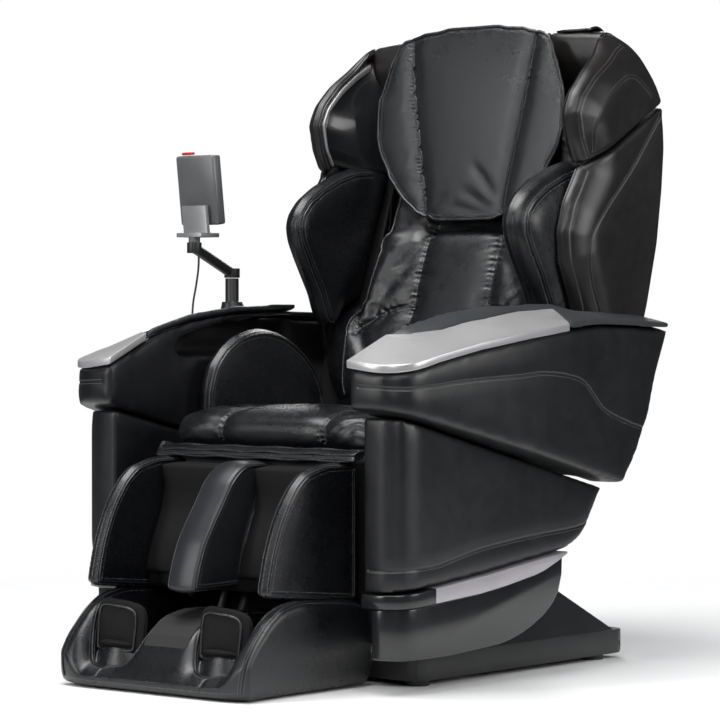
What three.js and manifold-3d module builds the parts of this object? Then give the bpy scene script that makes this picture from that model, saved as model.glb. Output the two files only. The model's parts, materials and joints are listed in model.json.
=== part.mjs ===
// Massage chair: a floor base with wheels, side panels, two sliding arm pods, a reclining back with
// wings and a roller carriage inside, a flip-over head pillow, a lifting leg rest with a foot unit
// that runs out of it, and a remote control on a swivel arm.
// Millimetres. +X is the sitter's left, -Y is the way the chair faces, +Z is up.
import * as THREE from "three";
import { mergeVertices } from "three/addons/utils/BufferGeometryUtils.js";
import Module from "manifold-3d";

const wasm = await Module();
wasm.setup();

// ---------- driving dimensions ----------
const GAP = 1.5; // between covers that meet
const FIT = 0.4; // between pieces that rest on each other
const SEAT_HALF = 233; // half the width of the seat cushion
const SEAT_TOP = 506; // highest line of the seat cushion
const SEAT_FRONT = -262; // foremost line of the seat cushion
const SEAT_REAR = 172; // where the cushion stops in front of the back pad
const SEAT_THICK = 100; // seat cushion, top to underside
const THIGH_PAD = 30; // thickness of the pads beside the seat
const POD_NOSE = -373; // front of the arm pods
const POD_REAR = 384;
const POD_INNER = 276; // inner face of a pod at its nose
const POD_INNER_REAR = 302; // inner face of a pod where the back begins
const POD_OUTER = 430; // outer face of a pod at its widest
const PAD_THICK = 14; // leather top pad and metal cap of a pod
const BACK_HALF = 345; // half the width across the back's side shells
const SHELL_THICK = 43; // thickness of a side shell of the back
const WING_THICK = 27; // thickness of a wing of the back
const STRIP_THICK = 10; // metal strip inside a wing
const BACK_LEAN = 20; // degrees that the back pad leans from upright
const BACK_PAD_THICK = 50;
const BACK_PAD_HALF = 228;
const BACK_PAD_LENGTH = 700; // along the lean
const WAIST_HALF = BACK_HALF - SHELL_THICK - 4; // half the width of the back pad at the waist
const COVER_WALL = 10; // rear cover of the back
const PANEL_OUTER = 375; // outer face of the lower side panels
const PANEL_DEPTH = 88; // thickness of a lower side panel
const PANEL_FRONT = -347; // front face of the lower side panels
const PANEL_CORNER = 45; // rounding of a side panel's outer front corner
const SKIRT_INSET = 9; // skirt behind the face of the side panel
const TRIM_PROUD = 2; // metal side trim in front of the side panel
const BASE_HALF = 300;
const BASE_FRONT = -205;
const BASE_REAR = 425;
const FLOOR = 24;
const PLINTH_LOW = 34;
const PLINTH_TOP = 78;
const COVER_TOP = 182;
const SHELL_WALL = 6; // wall of the base cover
const WHEEL_R = 22;
const WHEEL_LIFT = 5; // the wheels only meet the floor when the chair is tipped back
const WHEEL_WIDTH = 24;
const AXLE_R = 5;
const SHAFT_R = 8; // recline and leg rest shafts
const RUN = 0.4; // running clearance around shafts and rods
const LEG_HALF = 213; // half the width across the calf walls
const CALF_WALL = 30;
const CALF_DEPTH = 110; // depth of a calf channel
const CALF_PAD = 22;
const DIVIDER_HALF = 35;
const CALF_REAR = -266;
const FOOT_HALF = 220;
const FOOT_WALL = 24;
const BRIDGE_HALF = 48;
const SOLE = { length: 205, thick: 12, tilt: 12 };
const SLIDE_LEAN = 24.8; // degrees from vertical of the foot unit's travel
const SLIDE_ROD = { radius: 8, length: 185, x: 24 };
const PILLOW = { low: 843, top: 1222, thick: 34 };
const REMOTE = { width: 96, height: 132, thick: 24, tilt: 7 };
const ARM_X = -360; // the remote's arm, from the chair's middle
const POST_R = 13;
const CORD_R = 2; // remote's cord

// Pivots as [y, z].
const RECLINE_PIVOT = [235, 440];
const LEG_PIVOT = [-264, 420];

// ---------- geometry helpers ----------
const rad = THREE.MathUtils.degToRad;
const lerp = THREE.MathUtils.lerp;
const clamp = THREE.MathUtils.clamp;
const sides = [-1, 1];

// A closed outline made of stretches that share their end points: two points are a straight line,
// and more are a spline through them in `steps` pieces.
function outline(stretches, steps = 8) {
  const points = [];
  for (const stretch of stretches) {
    const ends = stretch.map(([a, b]) => new THREE.Vector2(a, b));
    const run = ends.length === 2 ? ends : new THREE.SplineCurve(ends).getPoints(steps);
    points.push(...run.slice(0, -1));
  }
  return points;
}

// Height at y of a line through [y, z] points.
function lineAt(points, y) {
  const next = clamp(points.findIndex(([p]) => p > y), 1, points.length - 1);
  const [[y0, z0], [y1, z1]] = [points[next - 1], points[points[next][0] < y ? points.length - 1 : next]];
  return lerp(z0, z1, clamp((y - y0) / (y1 - y0), 0, 1));
}

// A solid between two surfaces over the same flat outline: low(p) and high(p) give 3D points.
function between(points, low, high) {
  const n = points.length;
  const index = [];
  for (const [a, b, c] of THREE.ShapeUtils.triangulateShape(points, [])) {
    index.push(a, c, b, a + n, b + n, c + n);
  }
  const turn = THREE.ShapeUtils.isClockWise(points);
  for (let i = 0; i < n; i++) {
    const [a, b] = turn ? [(i + 1) % n, i] : [i, (i + 1) % n];
    index.push(a, b, b + n, a, b + n, a + n);
  }
  const geometry = new THREE.BufferGeometry();
  const corners = [...points.map(low), ...points.map(high)].flat();
  geometry.setAttribute("position", new THREE.Float32BufferAttribute(corners, 3));
  geometry.setIndex(index);
  return facingOut(geometry);
}

// A solid through a row of rings that have the same number of corners; its ends are convex. The
// second half of each ring is split along the other diagonal, so that opposite faces stay parallel.
function loft(rings) {
  const n = rings[0].length;
  const last = (rings.length - 1) * n;
  const index = [];
  for (let i = 0; i < rings.length - 1; i++) {
    for (let j = 0; j < n; j++) {
      const [a, b] = [i * n + j, i * n + (j + 1) % n];
      index.push(...(j < n / 2 ? [a, b, b + n, a, b + n, a + n] : [a, b, a + n, b, b + n, a + n]));
    }
  }
  for (let j = 1; j < n - 1; j++) {
    index.push(0, j + 1, j, last, last + j, last + j + 1);
  }
  const geometry = new THREE.BufferGeometry();
  geometry.setAttribute("position", new THREE.Float32BufferAttribute(rings.flat(2), 3));
  geometry.setIndex(index);
  return facingOut(geometry);
}

// A slab whose outline lies in Y-Z, from the x of one face to the x of the other.
function slab(points, from, to) {
  return between(points, (p) => [from, p.x, p.y], (p) => [to, p.x, p.y]);
}

function box(width, depth, height, x, y, z) {
  return new THREE.BoxGeometry(width, depth, height).translate(x, y, z);
}

function cylinderX(radius, length, x, y, z, facets = 20) {
  return new THREE.CylinderGeometry(radius, radius, length, facets).rotateZ(Math.PI / 2).translate(x, y, z);
}

function cylinderZ(radius, length, x, y, z, facets = 20) {
  return new THREE.CylinderGeometry(radius, radius, length, facets).rotateX(Math.PI / 2).translate(x, y, z);
}

// A straight round bar between two points.
function rod(from, to, radius, facets = 12) {
  const a = new THREE.Vector3(...from);
  const b = new THREE.Vector3(...to);
  const run = b.clone().sub(a).normalize();
  const turn = new THREE.Quaternion().setFromUnitVectors(new THREE.Vector3(0, 1, 0), run);
  const bar = new THREE.CylinderGeometry(radius, radius, a.distanceTo(b), facets).applyQuaternion(turn);
  return bar.translate(...a.add(b).multiplyScalar(0.5).toArray());
}

// A tube of round section along a smooth line.
function tube(points, radius, steps, facets) {
  const ring = new THREE.Shape();
  ring.absarc(0, 0, radius, 0, 2 * Math.PI);
  const path = new THREE.CatmullRomCurve3(points.map((p) => new THREE.Vector3(...p)));
  return new THREE.ExtrudeGeometry(ring, { steps, curveSegments: facets, extrudePath: path });
}

function solid(geometry) {
  const bare = geometry.clone();
  bare.deleteAttribute("normal");
  bare.deleteAttribute("uv");
  const merged = mergeVertices(bare, 1e-4);
  return new wasm.Manifold(new wasm.Mesh({
    numProp: 3,
    vertProperties: merged.attributes.position.array,
    triVerts: new Uint32Array(merged.index.array),
  }));
}

function geometryOf(manifold) {
  const mesh = manifold.getMesh();
  const geometry = new THREE.BufferGeometry();
  geometry.setAttribute("position", new THREE.Float32BufferAttribute(mesh.vertProperties, 3));
  geometry.setIndex([...mesh.triVerts]);
  return geometry;
}

function facingOut(geometry) {
  if (solid(geometry).volume() > 0) return geometry;
  const index = [...geometry.index.array];
  for (let i = 0; i < index.length; i += 3) {
    [index[i + 1], index[i + 2]] = [index[i + 2], index[i + 1]];
  }
  geometry.setIndex(index);
  return geometry;
}

const join = (...pieces) => geometryOf(pieces.map(solid).reduce((a, b) => a.add(b)));
const cut = (body, ...tools) => geometryOf(tools.map(solid).reduce((a, b) => a.subtract(b), solid(body)));
const common = (a, b) => geometryOf(solid(a).intersect(solid(b)));

// ---------- materials ----------
function finish(color, roughness, metalness = 0) {
  return new THREE.MeshStandardMaterial({ color, roughness, metalness });
}
const LEATHER = finish(0x1b1b1d, 0.42);
const PAD_LEATHER = finish(0x2c2d30, 0.5);
const LINING = finish(0x0d0c0c, 0.75);
const SILVER = finish(0xb9b5b6, 0.28, 0.85);
const PLASTIC = finish(0x141516, 0.4);
const STEEL = finish(0x3a3d40, 0.5, 0.8);
const RUBBER = finish(0x0b0b0b, 0.85);
const REMOTE_GREY = finish(0x5c6063, 0.4, 0.3);
const RED = finish(0xb3202a, 0.35);

const chair = new THREE.Group();

function add(name, geometry, material) {
  const mesh = new THREE.Mesh(geometry, material);
  mesh.name = name;
  chair.add(mesh);
}

// The sitter's left is +X; the piece on the right is its mirror image.
function addPair(name, geometry, material) {
  add(name + "_left", geometry, material);
  const twin = geometryOf(solid(geometry).mirror([1, 0, 0]));
  add(name + "_right", twin, material);
}

// ---------- base: frame, cover, wheels, inlet ----------
const FRAME_X = 170; // centre of the floor frame's rails and uprights
const FRAME_TOP = 60;
const CROSSBARS = [-150, 40, 300];
const WHEEL_CENTRE = [BASE_REAR - 16, FLOOR + WHEEL_LIFT + WHEEL_R]; // [y, z]
const WHEEL_X = BASE_HALF - 40;
const HEAD_R = 15; // round head of an upright, which carries the recline shaft

function baseFrame() {
  const rails = sides.map((side) => box(40, 500, 28, side * FRAME_X, 80, FRAME_TOP - 14));
  const crossbars = CROSSBARS.map((y) => box(2 * FRAME_X, 36, 24, 0, y, FRAME_TOP - 14));
  const [y, z] = RECLINE_PIVOT;
  const uprights = sides.flatMap((side) => [
    box(30, 44, z - FRAME_TOP - 6, side * FRAME_X, y, (z - 6 + FRAME_TOP) / 2),
    cylinderX(HEAD_R, 30, side * FRAME_X, y, z, 24),
  ]);
  const shaft = cylinderX(SHAFT_R, 2 * FRAME_X + 74, 0, y, z, 24);
  return join(...rails, ...crossbars, ...uprights, shaft);
}

function basePlan() {
  const r = 30;
  const [half, front, rear] = [BASE_HALF, BASE_FRONT, BASE_REAR];
  const corner = (x, y, sx, sy) => [[x, y - sy * r], [x - sx * 0.3 * r, y - sy * 0.3 * r], [x - sx * r, y]];
  const [c1, c2] = [corner(half, rear, 1, 1), corner(-half, rear, -1, 1).reverse()];
  const [c3, c4] = [corner(-half, front, -1, -1), corner(half, front, 1, -1).reverse()];
  return outline([c1, [c1[2], c2[0]], c2, [c2[2], c3[0]], c3, [c3[2], c4[0]], c4, [c4[2], c1[0]]], 4);
}

function baseCover() {
  const plinth = between(basePlan(), (p) => [p.x, p.y, PLINTH_LOW], (p) => [p.x, p.y, PLINTH_TOP]);
  const crownFront = -40;
  const crownRear = BASE_REAR - 30;
  const crownTopRear = BASE_REAR - 190;
  const taper = 0.78;
  const crown = (inset, from, to) => between(
    outline([
      [[inset - BASE_HALF, crownFront + inset], [BASE_HALF - inset, crownFront + inset]],
      [[BASE_HALF - inset, crownFront + inset], [BASE_HALF - inset, crownRear - inset]],
      [[BASE_HALF - inset, crownRear - inset], [inset - BASE_HALF, crownRear - inset]],
      [[inset - BASE_HALF, crownRear - inset], [inset - BASE_HALF, crownFront + inset]],
    ]),
    (p) => [p.x, p.y, from],
    (p) => [p.x * taper, p.y < 100 ? 10 + inset : crownTopRear - inset, to],
  );
  const lip = 20;
  const hollow = box(2 * (BASE_HALF - lip), BASE_REAR - BASE_FRONT - 2 * lip, PLINTH_TOP - PLINTH_LOW, 0,
    (BASE_REAR + BASE_FRONT) / 2, (PLINTH_TOP + PLINTH_LOW) / 2 - SHELL_WALL);
  const slots = sides.map((side) => box(36, 50, 60, side * FRAME_X, RECLINE_PIVOT[0], COVER_TOP));
  const legSlots = sides.map((side) => box(46, 70, 60, side * FRAME_X, SEAT_LEG_Y, PLINTH_TOP));
  const driveSlot = box(44, 160, 60, 60, 110, COVER_TOP);
  const liftSlot = box(44, 90, 60, 0, -130, PLINTH_TOP);
  const [wheelY, wheelZ] = WHEEL_CENTRE;
  const wells = sides.map((side) =>
    box(WHEEL_WIDTH + 8, 2 * WHEEL_R + 40, 2 * WHEEL_R + 3, side * WHEEL_X, wheelY + 16, wheelZ));
  const feet = sides.flatMap((side) => [BASE_FRONT + 32, BASE_REAR - 72].map((y) =>
    cylinderZ(22, PLINTH_LOW - FLOOR + 2, side * (BASE_HALF - 30), y, (PLINTH_LOW + FLOOR) / 2 + 1)));
  const cheekHeight = PLINTH_TOP - PLINTH_LOW - 4;
  const cheeks = sides.map((side) =>
    box(WHEEL_WIDTH + 30, 30, cheekHeight, side * WHEEL_X, wheelY, (PLINTH_TOP + PLINTH_LOW) / 2));
  const axleHoles = sides.map((side) => cylinderX(AXLE_R + RUN, 80, side * WHEEL_X, ...WHEEL_CENTRE, 16));
  const crownRoom = crown(SHELL_WALL, PLINTH_TOP - SHELL_WALL - 1, COVER_TOP - SHELL_WALL);
  const outside = join(plinth, crown(0, PLINTH_TOP - SHELL_WALL, COVER_TOP));
  const shell = cut(outside, hollow, crownRoom, ...slots, ...legSlots, driveSlot, liftSlot);
  return cut(join(shell, ...cheeks, ...feet), ...wells, ...axleHoles);
}

// A wheel with its own stub axle, which turns in the cover's cheeks.
function wheel() {
  return join(
    cylinderX(WHEEL_R, WHEEL_WIDTH, WHEEL_X, ...WHEEL_CENTRE, 28),
    cylinderX(AXLE_R, WHEEL_WIDTH + 26, WHEEL_X, ...WHEEL_CENTRE, 16),
  );
}

// ---------- lower sides: leather panel, metal trim, skirt ----------
const SPLIT = [[PANEL_FRONT, 499], [246, 355]]; // the pods slide along this line
const PANEL_LOW = [[PANEL_FRONT, 197], [-130, 217], [0, 232], [128, 246]];
const TRIM_LOW = [[PANEL_FRONT, 172], [-130, 186], [0, 203], [61, 215], [128, 240]];
const lowered = (line, drop) => line.map(([y, z]) => [y, z - drop]);

// Plan of a side piece with its outer front corner rounded off.
function frontCorner(inner, outer, front, rear) {
  const r = PANEL_CORNER;
  return outline([
    [[inner, front], [outer - r, front]],
    [[outer - r, front], [outer - 0.29 * r, front + 0.29 * r], [outer, front + r]],
    [[outer, front + r], [outer, rear]],
    [[outer, rear], [inner, rear]],
    [[inner, rear], [inner, front]],
  ], 5);
}

// A side piece: its Y-Z outline cut out of a column with the rounded front corner.
function sidePiece(shape, inner, outer, front) {
  const plan = frontCorner(inner, outer, front, 400);
  const column = between(plan, (p) => [p.x, p.y, 40], (p) => [p.x, p.y, 560]);
  return common(slab(shape, inner - 1, outer + 1), column);
}

function sidePanel() {
  const shape = outline([
    SPLIT,
    [SPLIT[1], [199, 284]],
    [[199, 284], [170, 263], PANEL_LOW[3]],
    [...PANEL_LOW].reverse(),
    [PANEL_LOW[0], SPLIT[0]],
  ]);
  return sidePiece(shape, PANEL_OUTER - PANEL_DEPTH, PANEL_OUTER, PANEL_FRONT);
}

function sideTrim() {
  const top = lowered(PANEL_LOW, GAP);
  const shape = outline([top, [top[3], TRIM_LOW[4]], [...TRIM_LOW].reverse(), [TRIM_LOW[0], top[0]]]);
  return sidePiece(shape, PANEL_OUTER - PANEL_DEPTH, PANEL_OUTER + TRIM_PROUD, PANEL_FRONT);
}

function skirt() {
  const top = lowered(TRIM_LOW, GAP);
  const shape = outline([
    top,
    [top[4], [124, 190], [105, 158], [72, 133], [30, 114], [-14, 100], [-59, 92]],
    [[-59, 92], [-201, 84]],
    [[-201, 84], [PANEL_FRONT, 84]],
    [[PANEL_FRONT, 84], top[0]],
  ]);
  return sidePiece(shape, BASE_HALF + GAP, PANEL_OUTER - SKIRT_INSET, PANEL_FRONT + SKIRT_INSET);
}

// ---------- seat ----------
const SEAT_LEG_Y = -115;
const SEAT_LOW = SEAT_TOP - SEAT_THICK;
const PANEL_INNER = PANEL_OUTER - PANEL_DEPTH;

// Plate under the cushion, legs down to the floor frame, cross tubes out to the side panels,
// and two plates that carry the leg rest's shaft.
function seatFrame() {
  const top = SEAT_LOW - FIT;
  const plateBottom = top - 16;
  const plate = box(2 * SEAT_HALF, 330, 16, 0, -45, top - 8);
  const legMiddle = (plateBottom + FRAME_TOP + FIT + 1) / 2;
  const legs = sides.map((side) =>
    box(30, 50, plateBottom - FRAME_TOP + 1, side * FRAME_X, SEAT_LEG_Y, legMiddle));
  const tubes = [-170, 60].map((y) => box(2 * (PANEL_INNER - FIT), 30, 24, 0, y, plateBottom - 10));
  const [y, z] = LEG_PIVOT;
  const earX = SEAT_HALF + 8;
  const ears = sides.map((side) => cut(
    slab(outline([
      [[-150, plateBottom - 20], [-150, plateBottom + 4]],
      [[-150, plateBottom + 4], [y + 10, z + SHAFT_R + 8], [y - 8, z + SHAFT_R + 6],
        [y - SHAFT_R - 7, z], [y - 6, z - SHAFT_R - 8]],
      [[y - 6, z - SHAFT_R - 8], [-170, plateBottom - 20]],
      [[-170, plateBottom - 20], [-150, plateBottom - 20]],
    ]), side * earX - 4, side * earX + 4),
    cylinderX(SHAFT_R + RUN, 20, side * earX, y, z, 24)));
  return join(plate, ...legs, ...tubes, ...ears);
}

function seatCushion() {
  const shape = outline([
    [[SEAT_FRONT + 10, SEAT_LOW + 26], [SEAT_FRONT, 452], [SEAT_FRONT + 12, 484],
      [-215, 502], [-169, SEAT_TOP]],
    [[-169, SEAT_TOP], [0, 497], [120, 480]],
    [[120, 480], [SEAT_REAR, 466]],
    [[SEAT_REAR, 466], [SEAT_REAR, SEAT_LOW]],
    [[SEAT_REAR, SEAT_LOW], [SEAT_FRONT + 30, SEAT_LOW]],
    [[SEAT_FRONT + 30, SEAT_LOW], [SEAT_FRONT + 10, SEAT_LOW + 26]],
  ]);
  return slab(shape, -SEAT_HALF, SEAT_HALF);
}

// Leather strip on the leg rest that covers the gap in front of the seat.
function seatFlap() {
  const [y, z] = LEG_PIVOT;
  const shape = outline([
    [[y + 8, z + 13], [y - 8, z + 14], [y - 26, z + 9], [y - 39, z + 1]],
    [[y - 39, z + 1], [y - 36, z - 5]],
    [[y - 36, z - 5], [y - 14, z - 1]],
    [[y - 14, z - 1], [y - 10, z + 8], [y, z + SHAFT_R + 1]],
    [[y, z + SHAFT_R + 1], [y + 8, z + 8.5]],
    [[y + 8, z + 8.5], [y + 8, z + 13]],
  ], 5);
  return slab(shape, -SEAT_HALF, SEAT_HALF);
}

function thighPad() {
  const low = SEAT_LOW + 24;
  const shape = outline([
    [[-144, low], [-147, 510], [-128, 575], [-74, 620], [-19, 636],
      [22, 637], [73, 625], [122, 598], [165, 558], [186, 510]],
    [[186, 510], [180, low]],
    [[180, low], [-144, low]],
  ], 14);
  return slab(shape, SEAT_HALF + 4, SEAT_HALF + 4 + THIGH_PAD);
}

// Linear drive that pushes the back; its rod ends short of the back frame, where the linkage is open.
function reclineActuator() {
  const reach = rad(38);
  const point = (d) => [60, 30 + d * Math.cos(reach), 92 + d * Math.sin(reach)];
  return join(
    rod(point(0), point(150), 15, 16),
    rod(point(140), point(225), 8),
    box(40, 60, 26, 60, 36, FRAME_TOP + FIT + 13),
  );
}

// Linear drive that lifts the leg rest; it also ends short, at the linkage's open pivot.
function legActuator() {
  const reach = rad(62);
  const point = (d) => [0, -128 - d * Math.cos(reach), 86 + d * Math.sin(reach)];
  return join(
    rod(point(0), point(150), 14, 16),
    rod(point(140), point(215), 7),
    box(36, 40, 22, 0, -134, FRAME_TOP + FIT + 11),
  );
}

// ---------- arm pods ----------
const POD_TOP_INNER = [[POD_NOSE, 592], [-241, 649], [-140, 673], [-14, 687], [156, 691], [POD_REAR, 679]];
const POD_TOP_OUTER = [[POD_NOSE, 577], [-279, 601], [-174, 622], [-50, 640], [72, 654], [165, 661],
  [POD_REAR, 654]];
const NOSE_CORNER = 70; // rounding of a pod's outer front corner
const SLOT = { front: -183, floor: 592, roof: 664, depth: 82 };
const RECESS = 178; // behind this line a pod gives room to the back's side shells
const RECESS_X = BACK_HALF + 4;

const podInner = (y) => lerp(POD_INNER, POD_INNER_REAR, clamp((y - POD_NOSE) / (RECESS - POD_NOSE), 0, 1));
const podSide = [[-300, POD_OUTER - 32], [-100, POD_OUTER - 6], [0, POD_OUTER], [POD_REAR, POD_OUTER - 3]];

// Outer face of a pod: its long side, and the round corner at its nose.
function podOuter(y) {
  const back = clamp((y - POD_NOSE) / NOSE_CORNER, 0, 1);
  return lineAt(podSide, y) - NOSE_CORNER * (1 - Math.sqrt(1 - (1 - back) ** 2));
}

function podTop(x, y) {
  const across = clamp((x - podInner(y)) / (lineAt(podSide, y) - podInner(y)), 0, 1);
  return lerp(lineAt(POD_TOP_INNER, y), lineAt(POD_TOP_OUTER, y), across);
}

function splitAt(y) {
  const [[y0, z0], [y1, z1]] = SPLIT;
  return z0 + (y - y0) * (z1 - z0) / (y1 - y0);
}
const STATIONS = [0, 3, 9, 18, 30, 46, NOSE_CORNER].map((d) => POD_NOSE + d)
  .concat([-279, -241, -205, -174, -140, -80, -50, -14, 72, 120, 156, 165, 280, POD_REAR]);

// A layer of a pod between two heights, open to the back's side shells behind the recess line.
function podLayer(low, high) {
  const body = loft(STATIONS.map((y) => {
    const [inner, outer] = [podInner(y), podOuter(y)];
    const under = [[inner, y, low(inner, y)], [outer, y, low(outer, y)]];
    return [...under, [outer, y, high(outer, y)], [inner, y, high(inner, y)]];
  }));
  return cut(body, box(100, 300, 700, RECESS_X - 50, RECESS + 150, 600));
}

function asPoints(list) {
  return list.map(([x, y]) => new THREE.Vector2(x, y));
}

// Rear lower corner of a pod, cut off along the slope that its cover follows.
function podTail() {
  return slab(outline([
    [[229, 300], [229, 357]],
    [[229, 357], [309, 461], [341, 548], [POD_REAR, 639]],
    [[POD_REAR, 639], [POD_REAR - 20, 700]],
    [[POD_REAR - 20, 700], [POD_REAR + 60, 700]],
    [[POD_REAR + 60, 700], [POD_REAR + 60, 300]],
    [[POD_REAR + 60, 300], [229, 300]],
  ], 9), RECESS_X - 20, POD_OUTER + 30);
}

// The layer that the cap and the pad are cut from.
const podTopLayer = () => podLayer((x, y) => podTop(x, y) - PAD_THICK + FIT, podTop);

function podShell() {
  const body = podLayer((x, y) => splitAt(y) + GAP, (x, y) => podTop(x, y) - PAD_THICK);
  const { front, floor, roof, depth } = SLOT;
  const slot = slab(outline([
    [[RECESS + 20, floor], [front + 22, floor]],
    [[front + 22, floor], [front, floor + 14], [front + 24, floor + 34]],
    [[front + 24, floor + 34], [-60, roof - 16], [20, roof - 4], [RECESS + 20, roof]],
    [[RECESS + 20, roof], [RECESS + 20, floor]],
  ]), POD_INNER - 20, POD_INNER + depth);
  return cut(body, slot, podTail());
}

// The cap covers the outer half of the top, from the nose's inner corner back to its slanted end.
const CAP_EDGE = [[POD_INNER - 10, -285], [POD_INNER + 12, -266], [POD_INNER + 38, -246],
  [338, -190], [346, -80], [344, 127]];
const CAP_END = [POD_OUTER + 20, 44];

// A column over the cap's plan, with its inner edge moved towards the pad by `clear`.
function capColumn(clear) {
  const edge = [...CAP_EDGE, CAP_END].map(([x, y]) => [x - clear, y + clear]);
  const plan = asPoints([...edge, [CAP_END[0], POD_NOSE - 20], [CAP_EDGE[0][0] - clear, POD_NOSE - 20]]);
  return between(plan, (p) => [p.x, p.y, 500], (p) => [p.x, p.y, 720]);
}

const podCap = () => common(podTopLayer(), capColumn(0));
const podPad = () => cut(podTopLayer(), capColumn(GAP));

// ---------- back ----------
const LEAN = rad(BACK_LEAN);
const BACK_FOOT = [183, 480]; // lowest point of the pad's front face, [y, z]

// A point of the back: s along the lean from its foot, n behind the pad's front face.
const leaned = (s, n) => [
  BACK_FOOT[0] + s * Math.sin(LEAN) + n * Math.cos(LEAN),
  BACK_FOOT[1] + s * Math.cos(LEAN) - n * Math.sin(LEAN),
];
// A box that leans with the back: width in x, then its span along s and along n.
function leanedBox(width, x, [s0, s1], [n0, n1]) {
  const corners = [leaned(s0, n0), leaned(s1, n0), leaned(s1, n1), leaned(s0, n1)];
  return slab(asPoints(corners), x - width / 2, x + width / 2);
}
const leanedRod = (x, [s0, s1], n, radius) => rod([x, ...leaned(s0, n)], [x, ...leaned(s1, n)], radius, 16);

const PIVOT_BACK = RECLINE_PIVOT[0] - BACK_FOOT[0];
const PIVOT_UP = RECLINE_PIVOT[1] - BACK_FOOT[1];
const PIVOT_S = PIVOT_BACK * Math.sin(LEAN) + PIVOT_UP * Math.cos(LEAN);
const PIVOT_N = PIVOT_BACK * Math.cos(LEAN) - PIVOT_UP * Math.sin(LEAN);
const RAIL_X = FRAME_X + 28; // side rails of the back frame, outside the uprights
const TRACK_X = 100; // tracks that the carriage runs on
const TRACK_N = BACK_PAD_THICK + 56;
const CROSSBAR_N = [TRACK_N + 14, TRACK_N + 24];
const FRAME_END = 600; // top of the back frame, along the lean

function backFrame() {
  const railN = [BACK_PAD_THICK + 4, BACK_PAD_THICK + 34];
  const rails = sides.map((side) => join(
    leanedBox(12, side * RAIL_X, [PIVOT_S, FRAME_END], railN),
    cylinderX(HEAD_R + 1, 12, side * RAIL_X, ...RECLINE_PIVOT, 24)));
  const spans = [[62, 86], [FRAME_END - 24, FRAME_END]];
  const crossbars = spans.map((span) => leanedBox(2 * RAIL_X, 0, span, CROSSBAR_N));
  const links = sides.flatMap((side) => spans.map((span) =>
    leanedBox(12, side * RAIL_X, span, [railN[1] - 2, CROSSBAR_N[1]])));
  const tracks = sides.map((side) =>
    leanedBox(10, side * TRACK_X, [62, FRAME_END], [TRACK_N - 6, CROSSBAR_N[0] + 1]));
  const frame = join(...rails, ...links, ...crossbars, ...tracks);
  return cut(frame, cylinderX(SHAFT_R + RUN, 2 * RAIL_X + 40, 0, ...RECLINE_PIVOT, 24));
}

// The pad: narrow between the bolsters, wide at the waist, its face lower behind the pillow, and
// thin at its top. x across, s along the lean.
const NECK = { from: 370, depth: 24 };
function backPad() {
  const stations = [[5, BACK_PAD_HALF - 8], [60, WAIST_HALF - 28], [120, WAIST_HALF], [205, WAIST_HALF],
    [235, BACK_PAD_HALF], [NECK.from, BACK_PAD_HALF], [NECK.from + 8, BACK_PAD_HALF],
    [480, BACK_PAD_HALF], [620, BACK_PAD_HALF - 14], [BACK_PAD_LENGTH, BACK_PAD_HALF - 50]];
  return loft(stations.map(([s, half]) => {
    const face = leaned(s, s > NECK.from ? NECK.depth : 0);
    const back = leaned(s, s > 620 ? BACK_PAD_THICK - 12 : BACK_PAD_THICK);
    return [[-half, ...face], [half, ...face], [half, ...back], [-half, ...back]];
  }));
}

// Front edge of the back's shells, which curl inwards there: [z, y].
const WING_EDGE = [[930, 262], [944, 257], [985, 235], [1039, 223], [1076, 241], [1118, 284],
  [1150, 328], [1175, 368], [1200, 412]];
const SIDE_EDGE = [[560, 276], [640, 252], [704, 228], [765, 200], [821, 194], [875, 215],
  [912, 240], [943, 256], [1062, 330]];
const SHELL_CURL = 33; // how far the front edge lies inside the outer face
const CURL_REACH = 75; // length of the curl
const TOP_CURL = { from: 1085, reach: 110, depth: 34 }; // the wings also lean in towards their top

// Plan of a shell at one height, from its front edge to a rear that lies beyond the side outline.
function shellRing(edge, z, thick) {
  const front = lineAt(edge, z);
  const lean = TOP_CURL.depth * clamp((z - TOP_CURL.from) / TOP_CURL.reach, 0, 1.1) ** 2;
  const outer = (back) => BACK_HALF - lean - SHELL_CURL * (1 - back / CURL_REACH) ** 2;
  const skin = [0, 12, 40, CURL_REACH].map((back) => [outer(back), front + back, z]);
  const inner = Math.max(BACK_HALF - thick - lean, BACK_HALF - SHELL_THICK);
  const lip = Math.min(inner, outer(0) - 3);
  const inside = [[inner, 490, z], [inner, front + CURL_REACH / 2, z], [lip, front + 6, z]];
  return [...skin, [BACK_HALF - lean - 8, 490, z], ...inside];
}

function shellColumn(edge, thick) {
  const heights = edge.map(([z]) => z);
  return heights.slice(1).map((z, i) => {
    const rings = [heights[i], z].map((h) => shellRing(edge, h, thick));
    return columnPiece(rings);
  }).reduce((a, b) => join(a, b));
}

// A stretch of column between two rings whose ends need not be convex.
function columnPiece([low, high]) {
  const plan = low.map(([x, y]) => new THREE.Vector2(x, y));
  return between(plan, (p) => low[plan.indexOf(p)], (p) => high[plan.indexOf(p)]);
}

// Inside of a wing, sloping from its front edge in to the back pad: [y at the wing, z, y at the pad].
const WING_LINING = [[286, 970, 388], [262, 985, 398], [252, 1036, 416], [268, 1070, 428],
  [306, 1104, 438], [352, 1140, 424], [372, 1138, 436], [392, 1122, 446], [424, 1092, 474],
  [440, 1066, 486], [440, 1056, 486]];

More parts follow.
